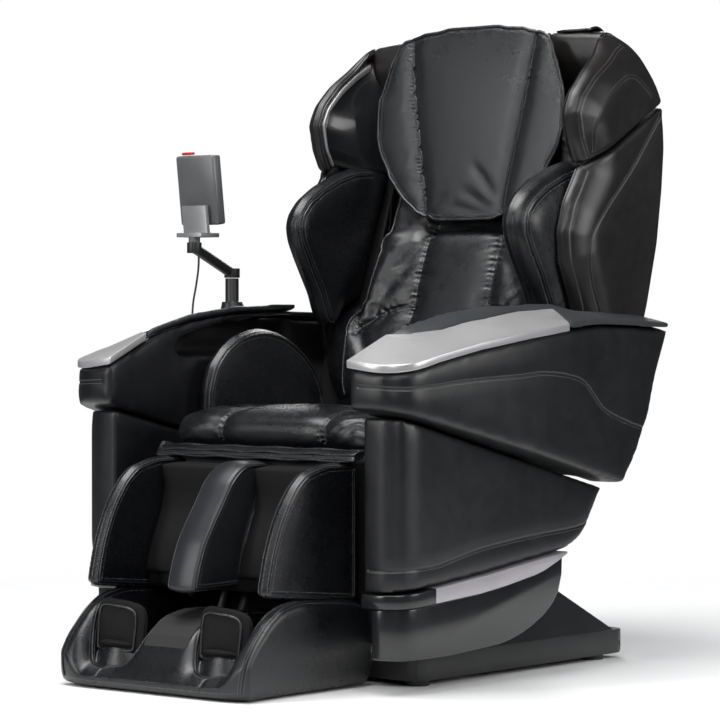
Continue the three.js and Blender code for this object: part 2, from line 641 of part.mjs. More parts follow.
function wingShell() {
  const shape = outline([
    [[150, 885], [480, 1066]],
    [[480, 1066], [460, 1098], [430, 1138], [412, 1172], [394, 1192], [374, 1192], [352, 1180]],
    [[352, 1180], [150, 1180]],
    [[150, 1180], [150, 885]],
  ], 10);
  const skin = common(slab(shape, BACK_HALF - 120, BACK_HALF + 5), shellColumn(WING_EDGE, WING_THICK));
  const lining = between(
    WING_LINING.map(([y, z]) => new THREE.Vector2(y, z)),
    (p) => [BACK_HALF - WING_THICK + 0.5, p.x, p.y],
    (p) => [BACK_PAD_HALF + 10, WING_LINING.find(([y, z]) => y === p.x && z === p.y)[2], p.y],
  );
  return join(skin, lining);
}

// Metal strip along the inside of a wing's front edge, widest at the top.
function wingStrip() {
  const shape = outline([
    [[268, 958], [252, 985], [242, 1036], [258, 1070], [286, 1100], [306, 1118]],
    [[306, 1118], [314, 1108]],
    [[314, 1108], [298, 1092], [268, 1060], [252, 1036], [260, 990], [272, 960]],
    [[272, 960], [268, 958]],
  ], 10);
  const outer = BOLSTER_OUTER + 4;
  return slab(shape, outer - STRIP_THICK, outer);
}

function sideShell() {
  const shape = outline([
    [[150, 879], [480, 1060]],
    [[480, 1060], [485, 980], [478, 902], [462, 800], [429, 684], [404, 620], [350, 565]],
    [[350, 565], [150, 565]],
    [[150, 565], [150, 879]],
  ], 10);
  return common(slab(shape, BACK_HALF - 120, BACK_HALF + 5), shellColumn(SIDE_EDGE, SHELL_THICK));
}

const BOLSTER_INNER = BACK_PAD_HALF + 8;
const BOLSTER_OUTER = BACK_HALF - SHELL_THICK - 4;

// The bolster's inner face reaches further forward than its outer one: [y inside, z, y outside].
const BOLSTER_EDGE = [[330, 950, 360], [280, 948, 304], [230, 934, 246], [180, 914, 202],
  [138, 890, 170], [114, 862, 151], [106, 836, 143], [112, 806, 139], [128, 776, 138],
  [152, 736, 140], [176, 700, 146], [204, 690, 184], [262, 722, 258]];

function bolster() {
  return between(
    BOLSTER_EDGE.map(([y, z]) => new THREE.Vector2(y, z)),
    (p) => [BOLSTER_INNER, p.x, p.y],
    (p) => [BOLSTER_OUTER, BOLSTER_EDGE.find(([y, z]) => y === p.x && z === p.y)[2], p.y],
  );
}

// Thin bent cover behind the back: its middle stands behind the side shells and slopes to meet them.
const COVER_BULGE = 50;
const COVER_EDGE = BACK_HALF - SHELL_THICK - GAP;
const COVER_FLAT = 235; // half the width of its middle
function backCover() {
  const rear = [[404, 626], [429, 690], [462, 804], [476, 902], [481, 980], [476, 1050], [456, 1096],
    [420, 1138], [404, 1158]];
  const front = rear.map(([y, z]) => [y - COVER_WALL, z - 4]).reverse();
  const shape = outline([rear, [rear[8], front[0]], front, [front[8], rear[0]]], 12);
  const moved = shape.map((p) => new THREE.Vector2(p.x + COVER_BULGE, p.y));
  const slopes = sides.map((side) => between(
    shape,
    (p) => [side * COVER_EDGE, p.x, p.y],
    (p) => [side * COVER_FLAT, p.x + COVER_BULGE, p.y],
  ));
  return join(slab(moved, -COVER_FLAT, COVER_FLAT), ...slopes);
}

const PILLOW_BACK = 388; // the strap ends here, at the barrel it turns on
const pillowFront = (z) => lerp(304, 338, (z - PILLOW.low) / (PILLOW.top - PILLOW.low));

function headPillow() {
  const half = [[60, PILLOW.low], [105, 852], [150, 884], [190, 930], [222, 990], [231, 1040],
    [225, 1090], [204, 1150], [184, 1196], [160, 1210], [60, PILLOW.top]];
  const plan = asPoints([...half, ...half.map(([x, z]) => [-x, z]).reverse()]);
  const front = (p) => [p.x, pillowFront(p.y), p.y];
  const cushion = between(plan, front, (p) => [p.x, pillowFront(p.y) + PILLOW.thick, p.y]);
  const strapFront = pillowFront(PILLOW.top) + 20;
  const strap = box(240, PILLOW_BACK - strapFront, 6, 0, (PILLOW_BACK + strapFront) / 2, PILLOW.top - 5);
  const barrel = cylinderX(5, 240, 0, PILLOW_BACK, PILLOW.top - 5, 12);
  return join(cushion, strap, barrel);
}

// ---------- massage mechanism ----------
const CARRIAGE_S = 330;
const ARM_HALF = 46;
const ROLLER_R = 13;

function carriage() {
  const span = [CARRIAGE_S - 34, CARRIAGE_S + 34];
  const plate = leanedBox(2 * TRACK_X - 30, 0, span, [TRACK_N - 12, TRACK_N + 26]);
  const shoulders = sides.map((side) =>
    leanedBox(14, side * 62, [CARRIAGE_S - 10, CARRIAGE_S + 10], [TRACK_N - 34, TRACK_N - 6]));
  const screwHole = leanedRod(0, [CARRIAGE_S - 60, CARRIAGE_S + 60], TRACK_N + 6, 6 + RUN);
  const pin = leaned(CARRIAGE_S, TRACK_N - 26);
  return cut(join(plate, ...shoulders, cylinderX(4, 172, 0, ...pin, 16)), screwHole);
}

function liftDrive() {
  return join(
    leanedRod(0, [40, FRAME_END - 26], TRACK_N + 6, 6),
    leanedBox(70, 0, [-2, 52], [TRACK_N - 14, TRACK_N + 26]),
  );
}

// Rocker on the carriage's pin that carries a roller at its upper end.
const ARM_CENTRE = 80;
function rollerArm() {
  const pinN = TRACK_N - 26;
  const bar = leanedBox(10, ARM_CENTRE, [CARRIAGE_S - ARM_HALF, CARRIAGE_S + ARM_HALF], [pinN - 7, pinN + 7]);
  const axle = cylinderX(4, 34, ARM_CENTRE + 12, ...leaned(CARRIAGE_S + ARM_HALF - 8, pinN), 16);
  return cut(join(bar, axle), cylinderX(4 + RUN, 14, ARM_CENTRE, ...leaned(CARRIAGE_S, pinN), 16));
}

function roller() {
  const centre = leaned(CARRIAGE_S + ARM_HALF - 8, TRACK_N - 26);
  const tyre = cylinderX(ROLLER_R, 20, ARM_CENTRE + 17, ...centre, 20);
  return cut(tyre, cylinderX(4 + RUN, 30, ARM_CENTRE + 17, ...centre, 16));
}

// ---------- leg rest ----------
const CALF_FRONT = [[-340, 411], [-405, 393], [-455, 335], [-484, 268], [-501, 210]];
const CALF_FOOT = [CALF_FRONT[4], [CALF_REAR, 192]];
const [KNEE_Y, SHIN_Y, ANKLE_Y] = [CALF_FRONT[2][0], CALF_FRONT[3][0], CALF_FRONT[4][0]];
const KNEE_BACK = KNEE_Y + CALF_DEPTH + CALF_PAD; // behind the pad at the knee

// The calf unit's side outline with its front moved back by `inset`.
function calfOutline(inset, rear = CALF_REAR) {
  const front = CALF_FRONT.map(([y, z]) => [Math.min(y + inset, rear - 8), z]);
  const foot = front[front.length - 1];
  return outline([
    [[rear, 408], [rear - 8, 411], [Math.min(CALF_FRONT[0][0] + inset, rear - 9), 411]],
    front[0][0] < rear - 9 ? front : [[rear - 9, 411], ...front.slice(1)],
    [foot, [rear, CALF_FOOT[1][1]]],
    [[rear, CALF_FOOT[1][1]], [rear, 408]],
  ], 9);
}

const SLIDE = rad(SLIDE_LEAN);
const along = (d, y, z) => [y + d * Math.sin(SLIDE), z + d * Math.cos(SLIDE)];
const ROD_START = [-352, 158];

// Hard frame of the leg rest: shaft, hangers and the plate behind the calves, bored for the slide rods.
function legFrame() {
  const [y, z] = LEG_PIVOT;
  const shaft = cylinderX(SHAFT_R, 2 * SEAT_HALF + 26, 0, y, z, 24);
  const behind = CALF_DEPTH + CALF_PAD + 4;
  const block = slab(outline([
    [[CALF_REAR, z - 2], [CALF_REAR + 6, z - 2]],
    [[CALF_REAR + 6, z - 2], [CALF_REAR + 6, 210]],
    [[CALF_REAR + 6, 210], [CALF_REAR + 6, CALF_FOOT[1][1] + 4]],
    [[CALF_REAR + 6, CALF_FOOT[1][1] + 4], [ANKLE_Y + behind, 206]],
    [[ANKLE_Y + behind, 206], [SHIN_Y + behind, 268], [KNEE_Y + behind, 335], [KNEE_BACK + 37, 385]],
    [[KNEE_BACK + 37, 385], [CALF_REAR, z - 2]],
  ], 6), -(LEG_HALF - CALF_WALL - GAP), LEG_HALF - CALF_WALL - GAP);
  const bores = sides.map((side) => rod(
    [side * SLIDE_ROD.x, ...along(-60, ...ROD_START)],
    [side * SLIDE_ROD.x, ...along(SLIDE_ROD.length + 12, ...ROD_START)], SLIDE_ROD.radius + RUN, 16));
  return cut(join(block, shaft), ...bores);
}

function calfWall() {
  return slab(calfOutline(0), LEG_HALF - CALF_WALL, LEG_HALF);
}

function calfDivider() {
  const depth = CALF_DEPTH + CALF_PAD + 3;
  const shape = outline([
    [[KNEE_Y + depth, 335], [SHIN_Y + depth, 268], [ANKLE_Y + depth, 208]],
    [[ANKLE_Y + depth, 208], [-489, 207]],
    [[-489, 207], [-470, 262], [-440, 312], [-419, 340], [-386, 388], [-347, 410]],
    [[-347, 410], [KNEE_BACK + 31, 410]],
    [[KNEE_BACK + 31, 410], [KNEE_BACK + 31, 392]],
    [[KNEE_BACK + 31, 392], [KNEE_Y + depth, 335]],
  ]);
  return slab(shape, -DIVIDER_HALF, DIVIDER_HALF);
}

function calfPad() {
  const depth = CALF_DEPTH;
  const back = depth + CALF_PAD;
  const shape = outline([
    [[-346, 405], [KNEE_Y + depth, 335], [SHIN_Y + depth, 268], [ANKLE_Y + depth, 210]],
    [[ANKLE_Y + depth, 210], [ANKLE_Y + back, 208]],
    [[ANKLE_Y + back, 208], [SHIN_Y + back, 268], [KNEE_Y + back, 335], [KNEE_BACK + 30, 392]],
    [[KNEE_BACK + 30, 392], [KNEE_BACK + 30, 408]],
    [[KNEE_BACK + 30, 408], [-346, 405]],
  ]);
  return slab(shape, DIVIDER_HALF + GAP, LEG_HALF - CALF_WALL - GAP);
}

// ---------- foot unit ----------
const FOOT_INNER = FOOT_HALF - FOOT_WALL - GAP;
const HEEL = -262;

function footWall() {
  const shape = outline([
    [[-565, 28], [-571, 48], [-566, 72], [-542, 113], [-500, 154], [-466, 177]],
    [[-466, 177], [-420, 184], [-340, 176], [HEEL, 166]],
    [[HEEL, 166], [-240, 100], [-229, 28]],
    [[-229, 28], [-565, 28]],
  ]);
  return slab(shape, FOOT_HALF - FOOT_WALL, FOOT_HALF);
}

// Tray under the feet: raised rim in front, heel wall behind.
function footTray() {
  const shape = outline([
    [[-563, 28], [-569, 46], [-560, 62], [-544, 62], [-534, 46]],
    [[-534, 46], [-300, 42]],
    [[-300, 42], [-285, 60], [-284, 148]],
    [[-284, 148], [-266, 150]],
    [[-266, 150], [-244, 90], [-236, 28]],
    [[-236, 28], [-563, 28]],
  ]);
  return slab(shape, -FOOT_INNER, FOOT_INNER);
}

// Ridge between the feet, which also holds the slide rods.
function footBridge() {
  const shape = outline([
    [[-528, 50], [-534, 84], [-512, 120], [-470, 148], [-420, 157]],
    [[-420, 157], [-290, 150]],
    [[-290, 150], [-286, 60]],
    [[-286, 60], [-304, 46]],
    [[-304, 46], [-528, 50]],
  ]);
  const body = slab(shape, -BRIDGE_HALF, BRIDGE_HALF);
  const [rodLow, rodHigh] = [along(-30, ...ROD_START), along(SLIDE_ROD.length, ...ROD_START)];
  const rods = sides.map((side) =>
    rod([side * SLIDE_ROD.x, ...rodLow], [side * SLIDE_ROD.x, ...rodHigh], SLIDE_ROD.radius, 16));
  return join(body, ...rods);
}

function solePlate() {
  const width = FOOT_INNER - BRIDGE_HALF - 2 * GAP;
  const plate = new THREE.BoxGeometry(width, SOLE.length, SOLE.thick).rotateX(rad(-SOLE.tilt));
  return plate.translate((FOOT_INNER + BRIDGE_HALF) / 2, -418, 78);
}

// ---------- remote control ----------
const FLANGE = [51, 692]; // middle of the flange's top, [y, z]
const ELBOW = [-56, 800]; // top of the link, [y, z]
const REMOTE_FOOT = [-30, 838]; // middle of the remote's lower edge
const TILT_ROOM = 16; // under the remote, for its tilt
const BUTTON_TRAVEL = 1.2;

function ring(radius, facets) {
  const points = [];
  for (let i = 0; i < facets; i++) {
    const a = (2 * Math.PI * i) / facets;
    points.push(new THREE.Vector2(radius * Math.cos(a), radius * Math.sin(a)));
  }
  return points;
}

function remoteFlange() {
  const foot = between(ring(24, 24),
    (p) => [ARM_X + p.x, FLANGE[0] + p.y, podTop(-(ARM_X + p.x), FLANGE[0] + p.y) + 2 * GAP],
    (p) => [ARM_X + 0.8 * p.x, FLANGE[0] + 0.8 * p.y, FLANGE[1]]);
  return join(foot, cylinderZ(POST_R, 46, ARM_X, FLANGE[0], FLANGE[1] + 22));
}

function remoteLink() {
  const low = [ARM_X, FLANGE[0], FLANGE[1] + 46];
  const hub = cylinderZ(POST_R + 2, 18, low[0], low[1], low[2] + 9);
  const arm = rod([ARM_X, FLANGE[0] - 4, low[2] + 10], [ARM_X, ELBOW[0] + 4, ELBOW[1] - 8], 10, 12);
  const top = cylinderZ(POST_R + 1, 20, ARM_X, ELBOW[0], ELBOW[1] - 6);
  return join(hub, arm, top);
}

// Yoke that the remote sits in: neck, shelf under the remote and a plate behind it.
function remoteHolder() {
  const base = ELBOW[1] + 4 + FIT;
  const shelfTop = REMOTE_FOOT[1] - TILT_ROOM;
  const neck = cylinderZ(POST_R - 2, shelfTop - 2 - base, ARM_X, ELBOW[0], (shelfTop - 2 + base) / 2);
  const front = REMOTE_FOOT[0] - REMOTE.thick / 2;
  const shelf = box(62, 52, 8, ARM_X, front - 4, shelfTop - 4);
  const backPlate = new THREE.BoxGeometry(60, 8, 58).translate(0, 0, 29).rotateX(rad(REMOTE.tilt))
    .translate(ARM_X, front - 6, shelfTop - 6);
  return join(neck, shelf, backPlate);
}

// Places a piece of the remote: its own origin is the middle of the remote's lower edge.
function onRemote(geometry) {
  return geometry.rotateX(rad(REMOTE.tilt)).translate(ARM_X, REMOTE_FOOT[0], REMOTE_FOOT[1]);
}

function remoteBody() {
  const { width, height, thick } = REMOTE;
  return onRemote(new THREE.BoxGeometry(width, thick, height).translate(0, 0, height / 2));
}

function stopButton() {
  const { width, height } = REMOTE;
  const middle = height + 2.5 + BUTTON_TRAVEL + FIT;
  return onRemote(new THREE.BoxGeometry(24, 12, 5).translate(-width / 4, 0, middle));
}

// Cord from under the yoke, hanging behind the link, down to the pod.
const CORD = [[-384, -30, 811.5], [-386, -20, 798], [-389, -12, 778], [-390, -12, 754],
  [-390, -18, 724], [-392, -24, 692], [-393, -26, 664]];
function remoteLead() {
  return tube(CORD, CORD_R, 36, 8);
}

add("base_frame", baseFrame(), STEEL);
add("base_cover", baseCover(), PLASTIC);
addPair("rear_wheel", wheel(), RUBBER);
add("power_inlet", box(46, 12, 30, 120, BASE_REAR + FIT + 6, 50), PLASTIC);
addPair("side_panel", sidePanel(), LEATHER);
addPair("side_trim", sideTrim(), SILVER);
addPair("side_skirt", skirt(), PLASTIC);
add("seat_frame", seatFrame(), STEEL);
add("seat_cushion", seatCushion(), LEATHER);
addPair("thigh_pad", thighPad(), LEATHER);
add("recline_actuator", reclineActuator(), STEEL);
add("leg_actuator", legActuator(), STEEL);
addPair("pod_shell", podShell(), LEATHER);
addPair("pod_cap", podCap(), SILVER);
addPair("pod_pad", podPad(), PAD_LEATHER);
add("back_frame", backFrame(), STEEL);
add("back_pad", backPad(), LEATHER);
add("back_cover", backCover(), PLASTIC);
addPair("wing_shell", wingShell(), LEATHER);
addPair("wing_strip", wingStrip(), SILVER);
addPair("side_shell", sideShell(), LEATHER);
addPair("shoulder_bolster", bolster(), LEATHER);
add("head_pillow", headPillow(), LEATHER);
add("massage_carriage", carriage(), STEEL);
add("lift_drive", liftDrive(), STEEL);
addPair("roller_arm", rollerArm(), STEEL);
addPair("massage_roller", roller(), RUBBER);
add("leg_frame", legFrame(), STEEL);
addPair("calf_wall", calfWall(), LEATHER);
add("calf_divider", calfDivider(), LEATHER);
addPair("calf_pad", calfPad(), LINING);
add("seat_flap", seatFlap(), LEATHER);
add("foot_tray", footTray(), LEATHER);
addPair("foot_wall", footWall(), LEATHER);
add("foot_bridge", footBridge(), LEATHER);
addPair("sole_plate", solePlate(), LINING);
add("remote_flange", remoteFlange(), PLASTIC);
add("remote_link", remoteLink(), PLASTIC);
add("remote_holder", remoteHolder(), PLASTIC);
add("remote_body", remoteBody(), REMOTE_GREY);
add("stop_button", stopButton(), RED);
add("remote_lead", remoteLead(), RUBBER);

// The origin is on the floor, in the middle of the chair's footprint.
const bounds = new THREE.Box3().setFromObject(chair);
const middle = bounds.getCenter(new THREE.Vector3());
chair.position.set(-middle.x, -middle.y, -bounds.min.z);

export default chair;
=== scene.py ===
import json
import math

import bmesh
import bpy
import numpy as np
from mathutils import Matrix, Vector
from mathutils.geometry import delaunay_2d_cdt
from mathutils.bvhtree import BVHTree
from mathutils.kdtree import KDTree

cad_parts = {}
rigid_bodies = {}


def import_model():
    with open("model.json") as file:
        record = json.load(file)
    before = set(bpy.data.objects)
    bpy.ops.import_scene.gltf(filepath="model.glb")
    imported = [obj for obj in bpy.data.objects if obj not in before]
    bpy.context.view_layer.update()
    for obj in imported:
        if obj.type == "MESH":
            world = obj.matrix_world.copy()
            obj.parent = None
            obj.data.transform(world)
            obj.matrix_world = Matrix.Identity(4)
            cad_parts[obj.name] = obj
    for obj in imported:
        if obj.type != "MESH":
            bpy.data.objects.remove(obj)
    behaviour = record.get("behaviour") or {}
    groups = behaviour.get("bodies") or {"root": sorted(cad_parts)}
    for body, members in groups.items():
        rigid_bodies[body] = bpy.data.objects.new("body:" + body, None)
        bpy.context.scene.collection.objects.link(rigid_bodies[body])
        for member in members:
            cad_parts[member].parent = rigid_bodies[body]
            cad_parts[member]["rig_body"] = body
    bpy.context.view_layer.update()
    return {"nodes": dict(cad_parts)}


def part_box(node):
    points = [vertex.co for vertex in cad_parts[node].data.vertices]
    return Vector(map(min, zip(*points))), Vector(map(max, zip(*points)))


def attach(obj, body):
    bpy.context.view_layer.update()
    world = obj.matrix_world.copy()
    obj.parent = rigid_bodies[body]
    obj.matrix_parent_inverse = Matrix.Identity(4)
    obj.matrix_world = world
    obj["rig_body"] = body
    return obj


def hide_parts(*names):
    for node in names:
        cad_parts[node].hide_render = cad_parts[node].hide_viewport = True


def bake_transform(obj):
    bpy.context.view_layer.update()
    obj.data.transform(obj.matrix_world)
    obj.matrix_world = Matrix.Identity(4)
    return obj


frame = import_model()
scene = bpy.context.scene

# ---------------------------------------------------------------- measures

MM = 0.001
DRAWING_SHIFT = (0.0, 19.98, -24.0)  # from the drawing's origin to the frame's
LEAN = math.radians(20)  # the backrest's lean
STITCH_PITCH = 4.6 * MM
STITCH_LENGTH = 3.0 * MM
STITCH_RADIUS = 0.42 * MM
SEAM_HALF = 3.4 * MM  # from a seam to its rows of stitches


def at(x, y, z):
    """A point of the drawing, in millimetres, as a point of the frame in metres."""
    return Vector((x + DRAWING_SHIFT[0], y + DRAWING_SHIFT[1], z + DRAWING_SHIFT[2])) * MM


def leaned(x, along, out):
    """A point on the leaning backrest: so far along it, and so far behind its front plane."""
    return at(x, 183 + along * math.sin(LEAN) + out * math.cos(LEAN),
              480 + along * math.cos(LEAN) - out * math.sin(LEAN))


# ---------------------------------------------------------------- camera and light

def make_camera():
    data = bpy.data.cameras.new("camera")
    data.lens = 155
    data.sensor_width = 36
    camera = bpy.data.objects.new("camera", data)
    scene.collection.objects.link(camera)
    camera.location = at(3610.3, -4395.3, 680)
    camera.rotation_euler = (math.pi / 2 - math.atan(52 / 3100), 0, math.radians(39.4))
    scene.camera = camera


def make_light(name, place, target, width, height, watts):
    data = bpy.data.lights.new(name, "AREA")
    data.shape = "RECTANGLE"
    data.size = width
    data.size_y = height
    data.energy = watts
    light = bpy.data.objects.new(name, data)
    scene.collection.objects.link(light)
    light.location = place
    light.rotation_euler = (Vector(target) - Vector(place)).to_track_quat("-Z", "Y").to_euler()


def make_world():
    world = bpy.data.worlds.new("studio")
    world.use_nodes = True
    tree = world.node_tree
    tree.nodes.clear()
    out = tree.nodes.new("ShaderNodeOutputWorld")
    mix = tree.nodes.new("ShaderNodeMixShader")
    path = tree.nodes.new("ShaderNodeLightPath")
    seen = tree.nodes.new("ShaderNodeBackground")
    room = tree.nodes.new("ShaderNodeBackground")
    seen.inputs["Color"].default_value = (1, 1, 1, 1)
    seen.inputs["Strength"].default_value = 1.0
    room.inputs["Color"].default_value = (0.86, 0.93, 1.0, 1)
    room.inputs["Strength"].default_value = 0.10
    tree.links.new(path.outputs["Is Camera Ray"], mix.inputs[0])
    tree.links.new(room.outputs[0], mix.inputs[1])
    tree.links.new(seen.outputs[0], mix.inputs[2])
    tree.links.new(mix.outputs[0], out.inputs[0])
    scene.world = world


scene.view_settings.view_transform = "Standard"
make_camera()
make_world()
make_light("overhead", (-0.1, -0.7, 3.3), (0, 0.0, 0.6), 2.2, 1.6, 105)
make_light("front_left", (-1.5, -3.9, 1.9), (0, 0, 0.6), 0.6, 2.4, 64)
make_light("front_right", (2.1, -3.4, 2.2), (0, 0, 0.6), 0.8, 1.8, 30)
make_light("right_side", (3.8, 1.0, 1.7), (0.2, 0, 0.5), 1.6, 2.0, 60)
make_light("inner", (2.6, -1.6, 2.9), (-0.3, -0.1, 0.7), 0.9, 0.9, 26)
make_light("behind", (-1.8, 2.8, 2.4), (0, 0.2, 0.8), 1.4, 1.2, 50)

# ---------------------------------------------------------------- node helpers


class Nodes:
    """Short ways to add and join nodes in one node tree."""

    def __init__(self, tree):
        self.tree = tree

    def add(self, kind, **values):
        node = self.tree.nodes.new(kind)
        for key, value in values.items():
            setattr(node, key, value)
        return node

    def put(self, target, value):
        """Sets a socket to a number or a colour, or joins another socket to it."""
        if isinstance(value, bpy.types.NodeSocket):
            self.tree.links.new(value, target)
        else:
            target.default_value = value

    def math(self, operation, a, b=0.0, c=None):
        node = self.add("ShaderNodeMath", operation=operation)
        self.put(node.inputs[0], a)
        self.put(node.inputs[1], b)
        if c is not None:
            self.put(node.inputs[2], c)
        return node.outputs[0]

    def span(self, value, low, high, to_low, to_high):
        node = self.add("ShaderNodeMapRange", interpolation_type="SMOOTHSTEP")
        for index, item in enumerate((value, low, high, to_low, to_high)):
            self.put(node.inputs[index], item)
        return node.outputs[0]

    def blend(self, factor, a, b):
        node = self.add("ShaderNodeMix", data_type="RGBA")
        self.put(node.inputs[0], factor)
        self.put(node.inputs[6], a)
        self.put(node.inputs[7], b)
        return node.outputs[2]

    def noise(self, vector, size, detail=2.0, rough=0.5, kind="FBM"):
        node = self.add("ShaderNodeTexNoise", noise_type=kind)
        self.put(node.inputs["Vector"], vector)
        self.put(node.inputs["Scale"], size)
        self.put(node.inputs["Detail"], detail)
        self.put(node.inputs["Roughness"], rough)
        return node.outputs["Fac"]

    def stretched(self, vector, scale):
        node = self.add("ShaderNodeMapping")
        self.put(node.inputs["Vector"], vector)
        node.inputs["Scale"].default_value = scale
        return node.outputs[0]


def new_group(name, inputs, outputs):
    """An empty shader group with named sockets. Returns its nodes, its inputs and its output node."""
    group = bpy.data.node_groups.new(name, "ShaderNodeTree")
    for label, kind, value in inputs:
        socket = group.interface.new_socket(label, in_out="INPUT", socket_type=kind)
        if value is not None:
            socket.default_value = value
    for label, kind in outputs:
        group.interface.new_socket(label, in_out="OUTPUT", socket_type=kind)
    nodes = Nodes(group)
    given = nodes.add("NodeGroupInput")
    out = nodes.add("NodeGroupOutput")
    return group, nodes, given.outputs, out.inputs


def leather_group():
    """Pebbled grain, fine creases, and slow changes of tone and gloss."""
    group, n, given, out = new_group(
        "leather_grain",
        [("Place", "NodeSocketVector", None), ("Grain Size", "NodeSocketFloat", 0.0014),
         ("Crease Size", "NodeSocketFloat", 0.03), ("Crease Depth", "NodeSocketFloat", 0.5)],
        [("Height", "NodeSocketFloat"), ("Tone", "NodeSocketFloat"), ("Gloss", "NodeSocketFloat")])
    place = given["Place"]
    per_grain = n.math("DIVIDE", 1.0, given["Grain Size"])
    per_crease = n.math("DIVIDE", 1.0, given["Crease Size"])
    bend = n.add("ShaderNodeTexNoise")
    n.put(bend.inputs["Vector"], place)
    n.put(bend.inputs["Scale"], n.math("MULTIPLY", per_grain, 0.35))
    shift = n.add("ShaderNodeVectorMath", operation="MULTIPLY_ADD")
    n.put(shift.inputs[0], bend.outputs["Color"])
    shift.inputs[1].default_value = (0.0012, 0.0012, 0.0012)
    n.put(shift.inputs[2], place)
    cells = n.add("ShaderNodeTexVoronoi", feature="DISTANCE_TO_EDGE")
    n.put(cells.inputs["Vector"], shift.outputs[0])
    n.put(cells.inputs["Scale"], per_grain)
    pebbles = n.span(cells.outputs["Distance"], 0.0, 0.28, 0.0, 1.0)
    pores = n.noise(place, n.math("MULTIPLY", per_grain, 3.0), 1.0)
    creases = n.noise(place, per_crease, 5.0, 0.62, "RIDGED_MULTIFRACTAL")
    folds = n.span(creases, 0.55, 1.35, 0.0, 1.0)
    height = n.math("MULTIPLY_ADD", pebbles, 0.5, n.math("MULTIPLY", pores, 0.12))
    height = n.math("SUBTRACT", height, n.math("MULTIPLY", folds, given["Crease Depth"]))
    n.put(out["Height"], height)
    slow = n.noise(place, 5.0, 3.0, 0.55)
    rubbed = n.noise(place, 38.0, 4.0, 0.6)
    tone = n.math("MULTIPLY_ADD", pebbles, 0.25, n.math("MULTIPLY_ADD", slow, 0.55,
                                                        n.math("MULTIPLY", rubbed, 0.2)))
    n.put(out["Tone"], tone)
    n.put(out["Gloss"], n.math("MULTIPLY_ADD", rubbed, 0.5, n.math("MULTIPLY", slow, 0.5)))
    return group


def dust_group():
    """Small specks and slow cloudy changes, for moulded and painted surfaces."""
    group, n, given, out = new_group(
        "fine_mould",
        [("Place", "NodeSocketVector", None), ("Texture Size", "NodeSocketFloat", 0.0009)],
        [("Height", "NodeSocketFloat"), ("Tone", "NodeSocketFloat"), ("Gloss", "NodeSocketFloat")])
    per = n.math("DIVIDE", 1.0, given["Texture Size"])
    specks = n.noise(given["Place"], per, 2.0, 0.6)
    cloud = n.noise(given["Place"], 7.0, 4.0, 0.6)
    n.put(out["Height"], specks)
    n.put(out["Tone"], n.math("MULTIPLY_ADD", specks, 0.35, n.math("MULTIPLY", cloud, 0.65)))
    n.put(out["Gloss"], cloud)
    return group


def weave_group():
    """Two crossed sets of threads."""
    group, n, given, out = new_group(
        "mesh_weave",
        [("Place", "NodeSocketVector", None), ("Thread Pitch", "NodeSocketFloat", 0.0016)],
        [("Height", "NodeSocketFloat"), ("Tone", "NodeSocketFloat")])
    apart = n.add("ShaderNodeSeparateXYZ")
    n.put(apart.inputs[0], given["Place"])
    turns = n.math("DIVIDE", 2 * math.pi, given["Thread Pitch"])
    across = n.math("ADD", apart.outputs[0], apart.outputs[1])
    first = n.math("SINE", n.math("MULTIPLY", across, turns))
    second = n.math("SINE", n.math("MULTIPLY", n.math("ADD", apart.outputs[2],
                                                      n.math("MULTIPLY", apart.outputs[1], 0.6)), turns))
    height = n.math("MULTIPLY_ADD", n.math("MULTIPLY", first, second), 0.5, 0.5)
    n.put(out["Height"], height)
    n.put(out["Tone"], n.math("MULTIPLY_ADD", height, 0.6,
                              n.math("MULTIPLY", n.noise(given["Place"], 14.0), 0.4)))
    return group


def brushed_group():
    """Long fine scratches along one direction."""
    group, n, given, out = new_group(
        "brushed_lines", [("Place", "NodeSocketVector", None)],
        [("Height", "NodeSocketFloat"), ("Tone", "NodeSocketFloat"), ("Gloss", "NodeSocketFloat")])
    lines = n.noise(n.stretched(given["Place"], (900.0, 14.0, 900.0)), 1.0, 3.0, 0.6)
    cloud = n.noise(given["Place"], 11.0, 3.0)
    n.put(out["Height"], lines)
    n.put(out["Tone"], n.math("MULTIPLY_ADD", lines, 0.5, n.math("MULTIPLY", cloud, 0.5)))
    n.put(out["Gloss"], n.math("MULTIPLY_ADD", lines, 0.6, n.math("MULTIPLY", cloud, 0.4)))
    return group


GRAIN = leather_group()
MOULD = dust_group()
WEAVE = weave_group()
BRUSHED = brushed_group()


def material(name, group, dark, light, rough, bump, settings=None, **shader_values):
    """A Principled material whose colour, gloss and bump come from one effect group."""
    mat = bpy.data.materials.new(name)
    mat.use_nodes = True
    n = Nodes(mat.node_tree)
    shader = mat.node_tree.nodes["Principled BSDF"]
    place = n.add("ShaderNodeTexCoord").outputs["Object"]
    effect = n.add("ShaderNodeGroup", node_tree=group)
    n.put(effect.inputs["Place"], place)
    for key, value in (settings or {}).items():
        effect.inputs[key].default_value = value
    tone = n.span(effect.outputs["Tone"], 0.25, 0.75, 0.0, 1.0)
    n.put(shader.inputs["Base Color"], n.blend(tone, (*dark, 1), (*light, 1)))
    gloss = effect.outputs["Gloss"] if "Gloss" in effect.outputs else effect.outputs["Tone"]
    n.put(shader.inputs["Roughness"], n.span(gloss, 0.25, 0.75, rough[0], rough[1]))
    relief = n.add("ShaderNodeBump")
    relief.inputs["Strength"].default_value = bump[0]
    relief.inputs["Distance"].default_value = bump[1]
    n.put(relief.inputs["Height"], effect.outputs["Height"])
    n.put(shader.inputs["Normal"], relief.outputs[0])
    for key, value in shader_values.items():
        shader.inputs[key.replace("_", " ")].default_value = value
    return mat


